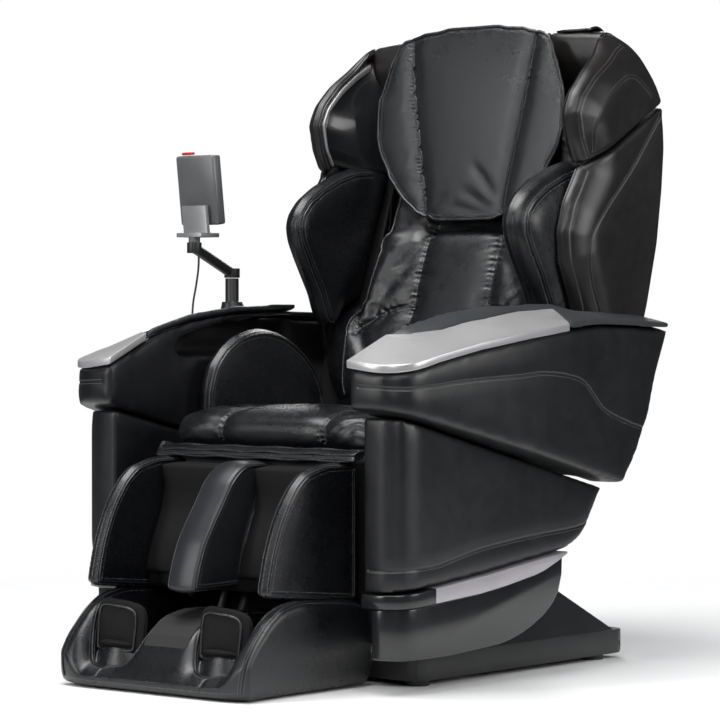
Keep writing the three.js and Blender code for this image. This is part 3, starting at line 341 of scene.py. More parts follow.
SIDE_LEATHER = material(
    "side_leather", GRAIN, (0.0045, 0.0048, 0.0056), (0.010, 0.0104, 0.0118), (0.26, 0.38), (0.22, 0.0005),
    {"Grain Size": 0.0013, "Crease Size": 0.09, "Crease Depth": 0.15}, Specular_IOR_Level=0.5)
SEAT_LEATHER = material(
    "seat_leather", GRAIN, (0.004, 0.0043, 0.0052), (0.0095, 0.0102, 0.0118), (0.22, 0.34), (0.28, 0.0006),
    {"Grain Size": 0.0015, "Crease Size": 0.035, "Crease Depth": 0.55}, Specular_IOR_Level=0.55)
BACK_LEATHER = material(
    "wing_leather", GRAIN, (0.0075, 0.0066, 0.0062), (0.016, 0.0142, 0.0132), (0.28, 0.4), (0.22, 0.0005),
    {"Grain Size": 0.0013, "Crease Size": 0.09, "Crease Depth": 0.15}, Specular_IOR_Level=0.5)
PILLOW_LEATHER = material(
    "pillow_leather", GRAIN, (0.0065, 0.007, 0.0082), (0.015, 0.016, 0.0182), (0.24, 0.36), (0.26, 0.0006),
    {"Grain Size": 0.0013, "Crease Size": 0.04, "Crease Depth": 0.45}, Specular_IOR_Level=0.55)
BAND_LEATHER = material(
    "band_leather", GRAIN, (0.012, 0.0128, 0.015), (0.022, 0.0235, 0.027), (0.26, 0.38), (0.22, 0.0005),
    {"Grain Size": 0.0013, "Crease Size": 0.06, "Crease Depth": 0.2}, Specular_IOR_Level=0.5)
ARM_PAD = material(
    "arm_pad_vinyl", GRAIN, (0.022, 0.0245, 0.0265), (0.034, 0.0375, 0.0405), (0.4, 0.52), (0.3, 0.0005),
    {"Grain Size": 0.0010, "Crease Size": 0.2, "Crease Depth": 0.05}, Specular_IOR_Level=0.5)
LINING = material(
    "lining_fabric", WEAVE, (0.0015, 0.0015, 0.0016), (0.0045, 0.0045, 0.0048), (0.6, 0.8), (0.5, 0.0008),
    {"Thread Pitch": 0.0018}, Specular_IOR_Level=0.25)
SILVER = material(
    "silver_trim", BRUSHED, (0.56, 0.55, 0.555), (0.62, 0.61, 0.615), (0.28, 0.34), (0.02, 0.0001), None,
    Metallic=0.6)
LILAC_SILVER = material(
    "side_trim_silver", BRUSHED, (0.42, 0.405, 0.43), (0.48, 0.465, 0.49), (0.36, 0.44), (0.02, 0.0001), None,
    Metallic=0.5)
GLOSSY = material(
    "skirt_gloss", MOULD, (0.007, 0.0075, 0.008), (0.013, 0.0135, 0.0145), (0.16, 0.26), (0.08, 0.0002),
    None, Coat_Weight=0.4, Coat_Roughness=0.08)
BASE_PLASTIC = material(
    "base_plastic", MOULD, (0.010, 0.0105, 0.011), (0.02, 0.0205, 0.0215), (0.34, 0.46), (0.25, 0.0004), None)
BACK_PLASTIC = material(
    "back_plastic", MOULD, (0.015, 0.014, 0.0135), (0.026, 0.0245, 0.0235), (0.36, 0.5), (0.3, 0.0004), None)
STEEL = material(
    "steel_frame", MOULD, (0.04, 0.043, 0.047), (0.065, 0.069, 0.075), (0.38, 0.52), (0.3, 0.0003),
    {"Texture Size": 0.0016}, Metallic=0.3)
RUBBER = material(
    "roller_rubber", MOULD, (0.012, 0.012, 0.0125), (0.024, 0.024, 0.025), (0.5, 0.68), (0.35, 0.0005),
    {"Texture Size": 0.0012})
REMOTE_GREY = material(
    "remote_shell", MOULD, (0.13, 0.135, 0.14), (0.18, 0.185, 0.19), (0.3, 0.4), (0.15, 0.0003),
    {"Texture Size": 0.0006}, Metallic=0.4)
WEDGE_GREY = material(
    "remote_wedge", MOULD, (0.3, 0.305, 0.31), (0.38, 0.385, 0.39), (0.3, 0.4), (0.12, 0.0003),
    {"Texture Size": 0.0006}, Metallic=0.6)
RED = material(
    "button_red", MOULD, (0.45, 0.015, 0.02), (0.6, 0.03, 0.035), (0.22, 0.32), (0.1, 0.0002), None)
THREAD = material(
    "thread", MOULD, (0.16, 0.165, 0.17), (0.26, 0.265, 0.27), (0.5, 0.65), (0.2, 0.0002), None)
PIPING = material(
    "piping", GRAIN, (0.008, 0.0085, 0.0095), (0.02, 0.021, 0.023), (0.16, 0.24), (0.3, 0.0004),
    {"Grain Size": 0.0011, "Crease Size": 0.02, "Crease Depth": 0.2}, Specular_IOR_Level=0.6)

# ---------------------------------------------------------------- mesh helpers


def merged(node):
    """A joined-up copy of a CAD node's mesh, as a bmesh."""
    bm = bmesh.new()
    bm.from_mesh(frame["nodes"][node].data)
    bmesh.ops.remove_doubles(bm, verts=bm.verts, dist=2e-5)
    bmesh.ops.dissolve_limit(bm, angle_limit=math.radians(0.6), verts=bm.verts, edges=bm.edges)
    return bm


def object_from(bm, name):
    mesh = bpy.data.meshes.new(name)
    bm.to_mesh(mesh)
    bm.free()
    obj = bpy.data.objects.new(name, mesh)
    scene.collection.objects.link(obj)
    return obj


def bake(obj):
    """Turns an object's modifiers into its mesh."""
    view = bpy.context.evaluated_depsgraph_get()
    view.update()
    mesh = bpy.data.meshes.new_from_object(obj.evaluated_get(view))
    obj.modifiers.clear()
    old = obj.data
    obj.data = mesh
    bpy.data.meshes.remove(old)
    return obj


def coords(mesh):
    flat = np.empty(len(mesh.vertices) * 3)
    mesh.vertices.foreach_get("co", flat)
    return flat.reshape(-1, 3)


def set_coords(mesh, points):
    mesh.vertices.foreach_set("co", points.astype(np.float32).ravel())
    mesh.update()


def normals(mesh):
    flat = np.empty(len(mesh.vertices) * 3)
    mesh.vertices.foreach_get("normal", flat)
    return flat.reshape(-1, 3)


def edge_array(mesh):
    flat = np.empty(len(mesh.edges) * 2, np.int64)
    mesh.edges.foreach_get("vertices", flat)
    return flat.reshape(-1, 2)


def relax(mesh, rounds, keep=None, share=0.5):
    """Averages each point with its neighbours, which rounds the edges. keep is how firmly a point stays."""
    points = coords(mesh)
    edges = edge_array(mesh)
    count = np.bincount(edges.ravel(), minlength=len(points))[:, None].clip(1)
    for _ in range(rounds):
        total = np.zeros_like(points)
        np.add.at(total, edges[:, 0], points[edges[:, 1]])
        np.add.at(total, edges[:, 1], points[edges[:, 0]])
        step = share * (total / count - points)
        points = points + (step if keep is None else step * (1 - keep[:, None]))
    set_coords(mesh, points)


def distances(points, line):
    """For each point, how far the nearest point of a line is, and which one it is."""
    tree = KDTree(len(line))
    for index, p in enumerate(line):
        tree.insert(p, index)
    tree.balance()
    found = [tree.find(p) for p in points]
    return np.array([f[2] for f in found]), np.array([f[1] for f in found])


def spaced(points, step, closed=False):
    """A smooth line through the points, with a point every step."""
    p = [Vector(v) for v in points]
    count = len(p)
    dense = []
    spans = count if closed else count - 1
    for i in range(spans):
        a = p[i - 1] if closed or i > 0 else 2 * p[0] - p[1]
        b, c = p[i], p[(i + 1) % count]
        d = p[(i + 2) % count] if closed or i + 2 < count else 2 * p[-1] - p[-2]
        parts = max(2, int((c - b).length / step) + 1)
        for k in range(parts):
            t = k / parts
            dense.append(0.5 * (2 * b + (c - a) * t + (2 * a - 5 * b + 4 * c - d) * t * t
                                + (3 * b - a - 3 * c + d) * t * t * t))
    if not closed:
        dense.append(p[-1])
    return dense


def flank(bm, axis, limit=0.72):
    """The longest closed edge loop round the faces that look along the axis."""
    axis = Vector(axis).normalized()
    bm.normal_update()
    chosen = set(f for f in bm.faces if f.normal.dot(axis) > limit)
    border = [e for e in bm.edges if len([f for f in e.link_faces if f in chosen]) == 1]
    links = {}
    for e in border:
        for v in e.verts:
            links.setdefault(v, []).append(e)
    loops = []
    left = set(border)
    while left:
        edge = left.pop()
        start, here = edge.verts
        loop = [start.co.copy(), here.co.copy()]
        while here != start:
            after = [e for e in links[here] if e in left]
            if not after:
                break
            edge = after[0]
            left.discard(edge)
            here = edge.other_vert(here)
            loop.append(here.co.copy())
        loops.append(loop[:-1] if (loop[0] - loop[-1]).length < 1e-6 else loop)
    return max(loops, key=lambda l: sum((l[i] - l[i - 1]).length for i in range(len(l))))


def outline(node, axis, limit=0.72):
    bm = merged(node)
    loop = flank(bm, axis, limit)
    bm.free()
    return loop


def on_surface(tree, points, out=0.0):
    """Each point moved to the nearest place on a surface, and its normal there."""
    placed = []
    for p in points:
        spot, normal, _, _ = tree.find_nearest(p)
        placed.append((spot + normal * out, normal))
    return placed


def tree_of(obj):
    mesh = obj.data
    mesh.calc_loop_triangles()
    return BVHTree.FromPolygons([v.co for v in mesh.vertices], [t.vertices for t in mesh.loop_triangles])


def pressed_line(obj, points, closed=False, step=0.004, settle=2):
    """A smooth line on an object's surface, near the points given."""
    tree = tree_of(obj)
    line = [s for s, _ in on_surface(tree, spaced(points, step, closed))]
    for _ in range(settle):
        last = len(line)
        eased = []
        for i, p in enumerate(line):
            if not closed and i in (0, last - 1):
                eased.append(p)
            else:
                eased.append((line[i - 1] + p * 2 + line[(i + 1) % last]) / 4)
        line = [s for s, _ in on_surface(tree, eased)]
    return line


# ---------------------------------------------------------------- crowned forms

def eased(points, spacing=4.5, rounds=7, closed=True):
    """An outline with even spacing and its corners rounded. Points are pairs."""
    p = [np.array(v, float) for v in points]
    dense = []
    for i in range(len(p) if closed else len(p) - 1):
        a, b = p[i], p[(i + 1) % len(p)]
        parts = max(1, int(np.linalg.norm(b - a) / spacing + 0.5))
        dense += [a + (b - a) * k / parts for k in range(parts)]
    if not closed:
        dense.append(p[-1])
    line = np.array(dense)
    for _ in range(rounds):
        if closed:
            line = 0.5 * line + 0.25 * (np.roll(line, 1, 0) + np.roll(line, -1, 0))
        else:
            line[1:-1] = 0.5 * line[1:-1] + 0.25 * (line[:-2] + line[2:])
    return line


def to_line(points, line, closed=True):
    """How far each point is from a line, all as pairs."""
    a = line if closed else line[:-1]
    b = np.roll(line, -1, 0) if closed else line[1:]
    best = np.full(len(points), 1e9)
    for start in range(0, len(a), 64):
        p0, p1 = a[start:start + 64], b[start:start + 64]
        along = p1 - p0
        size = (along ** 2).sum(1).clip(1e-12)
        t = (((points[:, None] - p0) * along).sum(2) / size).clip(0, 1)
        gap = points[:, None] - (p0 + along * t[..., None])
        best = np.minimum(best, np.sqrt((gap ** 2).sum(2)).min(1))
    return best


def inside(points, line):
    a, b = line, np.roll(line, -1, 0)
    y = points[:, 1][:, None]
    crosses = (a[:, 1] > y) != (b[:, 1] > y)
    with np.errstate(divide="ignore", invalid="ignore"):
        x = a[:, 0] + (y - a[:, 1]) * (b[:, 0] - a[:, 0]) / (b[:, 1] - a[:, 1])
    return (crosses & (points[:, 0][:, None] < x)).sum(1) % 2 == 1


def crowned(name, outline2d, place, top, bottom, radius, step=7.0, bulge=2.0, levels=6):
    """A padded form over an outline. top and bottom give its two faces from (points, distance from the edge);
    radius rounds their edges; the band between them bulges a little."""
    edge = np.array(outline2d)
    count = len(edge)
    rings = [radius * r for r in (0.06, 0.2, 0.45, 0.8)] + [radius * 1.3 + 2]
    points = [edge]
    centre_side = np.roll(edge, -1, 0) - np.roll(edge, 1, 0)
    normal = np.stack([-centre_side[:, 1], centre_side[:, 0]], 1)
    normal /= np.linalg.norm(normal, axis=1, keepdims=True).clip(1e-9)
    if not inside(edge[:1] + normal[:1] * 1.0, edge)[0]:
        normal = -normal
    for ring in rings:
        moved = edge + normal * ring
        keep = inside(moved, edge) & (to_line(moved, edge) > ring * 0.94)
        if ring > radius * 0.5:
            keep &= np.arange(count) % 2 == 0
        points.append(moved[keep])
    low, high = edge.min(0), edge.max(0)
    xs, ys = np.meshgrid(np.arange(low[0], high[0], step), np.arange(low[1], high[1], step))
    grid = np.stack([xs.ravel(), ys.ravel()], 1)
    grid[:, 0] += np.where((np.round((grid[:, 1] - low[1]) / step) % 2) == 1, step / 2, 0)
    grid = grid[inside(grid, edge)]
    points.append(grid[to_line(grid, edge) > rings[-1] + step * 0.55])
    flat = np.concatenate(points)
    borders = [(i, (i + 1) % count) for i in range(count)]
    verts, _, faces, origin, _, _ = delaunay_2d_cdt([Vector(p) for p in flat], borders, [], 1, 1e-4)
    spot = np.array([tuple(v) for v in verts])
    d = to_line(spot, edge)
    at_edge = {}
    for index, sources in enumerate(origin):
        for source in sources:
            if source < count:
                at_edge[source] = index
                d[index] = 0.0
    roll = radius * (1 - np.sqrt(1 - (1 - np.clip(d / radius, 0, 1)) ** 2))
    upper = top(spot, d) - roll
    lower = bottom(spot, d) + roll
    slim = upper < lower
    middle = (upper + lower) / 2
    upper[slim] = middle[slim]
    lower[slim] = middle[slim]
    bm = bmesh.new()
    high_verts = [bm.verts.new(place(p[0], p[1], h)) for p, h in zip(spot, upper)]
    low_verts = [bm.verts.new(place(p[0], p[1], h)) for p, h in zip(spot, lower)]
    for f in faces:
        bm.faces.new([high_verts[i] for i in f])
        bm.faces.new([low_verts[i] for i in reversed(f)])
    strips = [[high_verts[at_edge[i]] for i in range(count)]]
    for level in range(1, levels):
        t = level / levels
        out = bulge * math.sin(math.pi * t)
        ring = []
        for i in range(count):
            j = at_edge[i]
            q = spot[j] - normal[i] * out
            ring.append(bm.verts.new(place(q[0], q[1], upper[j] + (lower[j] - upper[j]) * t)))
        strips.append(ring)
    strips.append([low_verts[at_edge[i]] for i in range(count)])
    for a, b in zip(strips, strips[1:]):
        for i in range(count):
            k = (i + 1) % count
            if a[i] != b[i] and a[k] != b[k]:
                bm.faces.new([a[i], a[k], b[k], b[i]])
    bmesh.ops.remove_doubles(bm, verts=bm.verts, dist=1e-6)
    bmesh.ops.recalc_face_normals(bm, faces=bm.faces)
    return object_from(bm, name)


def side_place(u, v, h):
    """A form seen from the side: u back, v up, h across."""
    return at(h, u, v)


def rim_line(outline2d, place, height):
    """The outline itself, at one height, as a closed line."""
    return [place(p[0], p[1], height) for p in outline2d]


def level(value):
    return lambda p, d: np.full(len(p), float(value))


def flat_loop(node, axis):
    """A CAD solid's side outline as pairs in the drawing's millimetres."""
    return [((p.y / MM) - DRAWING_SHIFT[1], (p.z / MM) - DRAWING_SHIFT[2]) for p in outline(node, axis)]


def dome(value, height, reach):
    """A face that swells towards its middle."""
    return lambda p, d: value + height * (1 - np.exp(-(d / reach) ** 2))


def hollow(value, height, reach):
    return lambda p, d: value - height * (1 - np.exp(-(d / reach) ** 2))


# ---------------------------------------------------------------- soft pieces

def finer(obj, line, reach, rounds=2):
    """Cuts the faces near a line smaller, so that a narrow seam can be pressed in."""
    bm = bmesh.new()
    bm.from_mesh(obj.data)
    for _ in range(rounds):
        bm.verts.ensure_lookup_table()
        far, _ = distances([v.co for v in bm.verts], line)
        close = far < reach
        edges = [e for e in bm.edges if close[e.verts[0].index] and close[e.verts[1].index]]
        bmesh.ops.subdivide_edges(bm, edges=edges, cuts=1, use_grid_fill=True)
        bmesh.ops.triangulate(bm, faces=[f for f in bm.faces if len(f.verts) > 4])
        bm.verts.index_update()
        reach *= 0.62
    bm.to_mesh(obj.data)
    bm.free()


def soft_copy(name, nodes, voxel=0.006, rounds=6, edge_drop=0.002, edge_reach=0.025, shrink=0.0):
    """A rounded, slightly crowned leather form that fills a CAD solid's place."""
    whole = bmesh.new()
    sharp = []
    for node in nodes:
        bm = merged(node)
        for e in bm.edges:
            if len(e.link_faces) == 2 and e.calc_face_angle() > math.radians(38):
                length = e.calc_length()
                parts = max(1, int(length / 0.008))
                sharp += [e.verts[0].co.lerp(e.verts[1].co, k / parts) for k in range(parts + 1)]
        mesh = bpy.data.meshes.new("part")
        bm.to_mesh(mesh)
        bm.free()
        whole.from_mesh(mesh)
        bpy.data.meshes.remove(mesh)
    obj = object_from(whole, name)
    remesh = obj.modifiers.new("even", "REMESH")
    remesh.mode = "VOXEL"
    remesh.voxel_size = voxel
    bake(obj)
    points = coords(obj.data)
    far, _ = distances(points, sharp) if sharp else (np.full(len(points), 1.0), None)
    drop = shrink + edge_drop * np.exp(-(far / edge_reach) ** 2)
    set_coords(obj.data, points - normals(obj.data) * drop[:, None])
    relax(obj.data, rounds)
    return obj


def inflate(obj, cap, pressure=4.0, pinned=(), pin_reach=0.008, frames=20):
    """Blows a form up like a stuffed cover. The pinned lines hold, as sewn channels do."""
    start = coords(obj.data)
    holds = np.zeros(len(start))
    for line in pinned:
        far, _ = distances(start, line)
        holds = np.maximum(holds, np.clip(1.4 - far / pin_reach, 0, 1))
    if pinned:
        group = obj.vertex_groups.new(name="sewn")
        for index in np.nonzero(holds > 0.01)[0]:
            group.add([int(index)], float(holds[index]), "REPLACE")
    cloth = obj.modifiers.new("stuffing", "CLOTH")
    cloth.settings.quality = 4
    cloth.settings.mass = 0.3
    cloth.settings.tension_stiffness = 12
    cloth.settings.compression_stiffness = 8
    cloth.settings.shear_stiffness = 5
    cloth.settings.bending_stiffness = 0.6
    cloth.settings.use_pressure = True
    cloth.settings.uniform_pressure_force = pressure
    cloth.settings.effector_weights.gravity = 0
    if pinned:
        cloth.settings.vertex_group_mass = "sewn"
    cloth.point_cache.frame_start = 1
    cloth.point_cache.frame_end = frames
    for f in range(1, frames + 1):
        scene.frame_set(f)
    view = bpy.context.evaluated_depsgraph_get()
    moved = coords(obj.evaluated_get(view).data)
    obj.modifiers.clear()
    obj.vertex_groups.clear()
    scene.frame_set(1)
    step = moved - start
    length = np.linalg.norm(step, axis=1, keepdims=True).clip(1e-9)
    step *= np.minimum(1.0, cap / length)
    set_coords(obj.data, start + step)


def press(obj, line, depth=0.0018, width=0.0022, valley=0.0015, spread=0.014):
    """Presses a sewn seam into a surface: a sharp groove in a shallow valley."""
    finer(obj, line, 0.016)
    points = coords(obj.data)
    far, _ = distances(points, line)
    drop = depth * np.exp(-(far / width) ** 2) + valley * np.exp(-(far / spread) ** 2)
    set_coords(obj.data, points - normals(obj.data) * drop[:, None])


def wave(s, seed):
    """A repeatable uneven wave along a length, between about -1 and 1."""
    draw = np.random.default_rng(seed)
    total = np.zeros_like(s)
    for k in range(6):
        total += np.sin(2 * math.pi * s * draw.uniform(0.55, 1.9) + draw.uniform(0, 6.28)) / (1 + 0.35 * k)
    return total / 2.6


def gather(obj, line, depth, pitch, reach, seed, side=None):
    """Puckers a cover where it is drawn in along a line: small folds that die out away from it."""
    points = coords(obj.data)
    far, index = distances(points, line)
    run = np.concatenate([[0], np.cumsum([(line[i] - line[i - 1]).length for i in range(1, len(line))])])
    s = run[index] / pitch + 0.6 * far / reach
    folds = -np.abs(wave(s, seed)) ** 1.3 * depth
    fade = np.exp(-(far / reach) ** 2) * np.clip(far / 0.004, 0.2, 1)
    if side is not None:
        across = (points - np.array(line)[index]) @ np.array(side)
        fade *= np.clip(across / 0.006, 0, 1)
    set_coords(obj.data, points + normals(obj.data) * (folds * fade)[:, None])


def dent(obj, start, end, depth, width):
    """One crease between two points."""
    line = pressed_line(obj, [start, end])
    points = coords(obj.data)
    far, index = distances(points, line)
    along = index / max(1, len(line) - 1)
    fade = np.sin(np.pi * np.clip(along, 0.02, 0.98)) ** 0.7
    set_coords(obj.data, points - normals(obj.data) * (depth * np.exp(-(far / width) ** 2) * fade)[:, None])


def smooth_shaded(obj):
    for polygon in obj.data.polygons:
        polygon.use_smooth = True


def finish_piece(obj, body, mat, nodes=()):
    obj.data.materials.clear()
    obj.data.materials.append(mat)
    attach(obj, body)
    if nodes:
        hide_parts(*nodes)
    return obj


def mirrored(obj, name):
    """The same form on the other side of the chair."""
    bm = bmesh.new()
    bm.from_mesh(obj.data)
    for v in bm.verts:
        v.co.x = -v.co.x
    bmesh.ops.reverse_faces(bm, faces=bm.faces)
    other = object_from(bm, name)
    smooth_shaded(other)
    return other


def flipped(line):
    return [Vector((-p[0], p[1], p[2])) for p in line]


# ---------------------------------------------------------------- sewing: piping and stitches

def start_tree(name, inputs):
    tree = bpy.data.node_groups.new(name, "GeometryNodeTree")
    for label, kind in [("Geometry", "NodeSocketGeometry")] + inputs:
        tree.interface.new_socket(label, in_out="INPUT", socket_type=kind)
    tree.interface.new_socket("Geometry", in_out="OUTPUT", socket_type="NodeSocketGeometry")
    n = Nodes(tree)
    return tree, n, n.add("NodeGroupInput").outputs, n.add("NodeGroupOutput").inputs


def stitch_tree():
    """A row of small rounded stitches along each line."""
    tree, n, given, out = start_tree(
        "stitch_row", [("Pitch", "NodeSocketFloat"), ("Length", "NodeSocketFloat"),
                       ("Radius", "NodeSocketFloat"),
                       ("Finish", "NodeSocketMaterial")])
    curve = n.add("GeometryNodeMeshToCurve")
    n.put(curve.inputs["Mesh"], given["Geometry"])
    even = n.add("GeometryNodeResampleCurve", mode="LENGTH")
    n.put(even.inputs["Curve"], curve.outputs[0])
    n.put(even.inputs["Length"], given["Pitch"])
    bead = n.add("GeometryNodeMeshUVSphere")
    bead.inputs["Segments"].default_value = 5
    bead.inputs["Rings"].default_value = 4
    bead.inputs["Radius"].default_value = 1.0
    size = n.add("ShaderNodeCombineXYZ")
    n.put(size.inputs[0], given["Radius"])
    n.put(size.inputs[1], given["Radius"])
    n.put(size.inputs[2], n.math("MULTIPLY", given["Length"], 0.5))
    tangent = n.add("GeometryNodeInputTangent")
    turn = n.add("FunctionNodeAlignRotationToVector", axis="Z")
    n.put(turn.inputs["Vector"], tangent.outputs[0])
    rows = n.add("GeometryNodeInstanceOnPoints")
    n.put(rows.inputs["Points"], even.outputs[0])
    n.put(rows.inputs["Instance"], bead.outputs["Mesh"])
    n.put(rows.inputs["Rotation"], turn.outputs[0])
    n.put(rows.inputs["Scale"], size.outputs[0])
    real = n.add("GeometryNodeRealizeInstances")
    n.put(real.inputs[0], rows.outputs[0])
    paint = n.add("GeometryNodeSetMaterial")
    n.put(paint.inputs["Geometry"], real.outputs[0])
    n.put(paint.inputs["Material"], given["Finish"])
    n.put(out["Geometry"], paint.outputs[0])
    return tree


def piping_tree():
    """A round edging that follows each line."""
    tree, n, given, out = start_tree(
        "piping_run", [("Pitch", "NodeSocketFloat"), ("Radius", "NodeSocketFloat"),
                       ("Finish", "NodeSocketMaterial")])
    curve = n.add("GeometryNodeMeshToCurve")
    n.put(curve.inputs["Mesh"], given["Geometry"])
    even = n.add("GeometryNodeResampleCurve", mode="LENGTH")
    n.put(even.inputs["Curve"], curve.outputs[0])
    n.put(even.inputs["Length"], given["Pitch"])
    ring = n.add("GeometryNodeCurvePrimitiveCircle")
    ring.inputs["Resolution"].default_value = 7
    n.put(ring.inputs["Radius"], given["Radius"])
    tube = n.add("GeometryNodeCurveToMesh")
    n.put(tube.inputs["Curve"], even.outputs[0])
    n.put(tube.inputs["Profile Curve"], ring.outputs[0])
    tube.inputs["Fill Caps"].default_value = True
    real = n.add("GeometryNodeRealizeInstances")
    n.put(real.inputs[0], tube.outputs[0])
    paint = n.add("GeometryNodeSetMaterial")
    n.put(paint.inputs["Geometry"], real.outputs[0])
    n.put(paint.inputs["Material"], given["Finish"])
    n.put(out["Geometry"], paint.outputs[0])
    return tree


STITCH_TREE = stitch_tree()
PIPING_TREE = piping_tree()
stitching = {}  # body -> list of (line, closed)
edging = {}  # (body, radius, finish name) -> list of (line, closed)


def lines_object(name, lines):
    verts = []
    edges = []
    for line, closed in lines:
        first = len(verts)
        verts += [tuple(p) for p in line]
        edges += [(first + i, first + i + 1) for i in range(len(line) - 1)]
        if closed:
            edges.append((len(verts) - 1, first))
    mesh = bpy.data.meshes.new(name)
    mesh.from_pydata(verts, edges, [])
    obj = bpy.data.objects.new(name, mesh)
    scene.collection.objects.link(obj)
    return obj


def set_inputs(modifier, tree, values):
    sockets = {s.name: s.identifier for s in tree.interface.items_tree if s.in_out == "INPUT"}
    for label, value in values.items():
        modifier[sockets[label]] = value


def grown(name, lines, tree, values, body, mat):
    """Runs a Geometry Nodes tree along lines and keeps the result as a plain mesh."""
    obj = lines_object(name, lines)
    modifier = obj.modifiers.new("grow", "NODES")
    modifier.node_group = tree
    set_inputs(modifier, tree, values)
    bake(obj)
    smooth_shaded(obj)
    return finish_piece(obj, body, mat)


def row(obj, body, line, closed=False, aside=(0.0,), lift=0.0002):
    """Rows of stitches beside a line on an object's surface."""
    tree = tree_of(obj)
    for offset in aside:
        path = []
        last = len(line)
        for i, p in enumerate(line):
            ahead = line[(i + 1) % last] if closed or i + 1 < last else p
            back = line[i - 1] if closed or i > 0 else p
            _, normal, _, _ = tree.find_nearest(p)
            side = (ahead - back).cross(normal)
            if side.length < 1e-9:
                continue
            path.append(p + side.normalized() * offset)
        path = [s for s, _ in on_surface(tree, path, lift)]
        stitching.setdefault(body, []).append((path, closed))


def pipe(obj, body, line, closed=True, radius=0.0024, out=0.0006, finish=None, slot="seat_leather"):
    """A round edging along a line on an object's surface."""
    tree = tree_of(obj)
    path = [s for s, _ in on_surface(tree, line, out)]
    finish = finish or PIPING
    edging.setdefault((body, round(radius, 5), finish.name, slot), []).append((path, closed))


def sew_all():
    for body, lines in stitching.items():
        grown(f"stitches_{body}", lines, STITCH_TREE,
              {"Pitch": STITCH_PITCH, "Length": STITCH_LENGTH, "Radius": STITCH_RADIUS, "Finish": THREAD},
              body, THREAD)
    for index, ((body, radius, finish, slot), lines) in enumerate(edging.items()):
        mat = bpy.data.materials[finish]
        grown(f"piping_{body}_{index}", lines, PIPING_TREE,
              {"Pitch": 0.005, "Radius": radius, "Finish": mat}, body, mat)


# ---------------------------------------------------------------- hard pieces

def hard(name, node, body, mat, bevel=0.0015, angle=34, segments=3):
    """A CAD solid with its corners eased."""
    obj = object_from(merged(node), name)
    ease = obj.modifiers.new("ease", "BEVEL")
    ease.width = bevel
    ease.segments = segments
    ease.limit_method = "ANGLE"
    ease.angle_limit = math.radians(angle)
    ease.use_clamp_overlap = True
    bake(obj)
    smooth_shaded(obj)
    obj.data.set_sharp_from_angle(angle=math.radians(32))
    return finish_piece(obj, body, mat, [node])


def body_of(node):
    return frame["nodes"][node]["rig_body"]


HARD = [
    (("base_frame", "seat_frame", "back_frame", "leg_frame", "massage_carriage", "lift_drive",
      "recline_actuator",
      "leg_actuator", "roller_arm_left", "roller_arm_right"), STEEL, 0.0012),
    (("rear_wheel_left", "rear_wheel_right", "massage_roller_left", "massage_roller_right"), RUBBER, 0.003),
    (("power_inlet",), BASE_PLASTIC, 0.0008),
    (("base_cover",), BASE_PLASTIC, 0.005),
    (("back_cover",), BACK_PLASTIC, 0.006),
    (("side_skirt_left", "side_skirt_right"), GLOSSY, 0.004),
    (("side_trim_left", "side_trim_right"), LILAC_SILVER, 0.002),
    (("pod_cap_left", "pod_cap_right"), SILVER, 0.004),
    (("remote_flange", "remote_link"), BASE_PLASTIC, 0.002),
    (("remote_holder",), WEDGE_GREY, 0.003),
    (("remote_body",), REMOTE_GREY, 0.005),
    (("stop_button",), RED, 0.0016),
]


def blacken(obj, front):
    """Gives an object's faces before a line the glossy black of the skirt."""
    bm = bmesh.new()
    bm.from_mesh(obj.data)
    bmesh.ops.bisect_plane(bm, geom=bm.verts[:] + bm.edges[:] + bm.faces[:], plane_co=(0, front, 0),
                           plane_no=(0, 1, 0))
    for face in bm.faces:
        face.material_index = 1 if face.calc_center_median().y < front else 0
    bm.to_mesh(obj.data)
    bm.free()
    obj.data.materials.append(GLOSSY)


def make_hard_pieces():
    for nodes, mat, bevel in HARD:
        for node in nodes:
            piece = hard(node + "_finished", node, body_of(node), mat, bevel)
            if node.startswith("side_trim"):
                blacken(piece, -0.235)


# ---------------------------------------------------------------- the remote's lead

def make_lead():
    """The thin cord from under the remote, down behind its arm, into the arm pod."""
    lead = [(-384, -30, 811.5), (-386, -20, 798), (-389, -12, 778), (-390, -12, 754), (-390, -18, 724),
            (-392, -24, 692), (-393, -26, 664)]
    line = spaced([at(*p) for p in lead], 0.006)
    obj = lines_object("lead_cord", [(line, False)])
    modifier = obj.modifiers.new("grow", "NODES")
    modifier.node_group = PIPING_TREE
    set_inputs(modifier, PIPING_TREE, {"Pitch": 0.004, "Radius": 0.002, "Finish": RUBBER})
    bake(obj)
    smooth_shaded(obj)
    finish_piece(obj, "arm_right", RUBBER, ["remote_lead"])


# ---------------------------------------------------------------- arm pods and sides

def both_sides(obj, left_body, right_body, mat, slot, stem, rows=(), pipes=()):
    """Finishes a left-hand form and its mirror image, with the same sewing."""
    smooth_shaded(obj)
    other = mirrored(obj, stem + "_right_cover")
    for piece, body, turn in ((obj, left_body, lambda l: l), (other, right_body, flipped)):
        for line, closed, aside in rows:
            row(piece, body, turn(line), closed, aside)
        for line, closed, radius, out, finish in pipes:
            pipe(piece, body, turn(line), closed, radius, out, finish, slot)
    finish_piece(obj, left_body, mat, [stem + "_left"])
    finish_piece(other, right_body, mat, [stem + "_right"])
    return obj, other


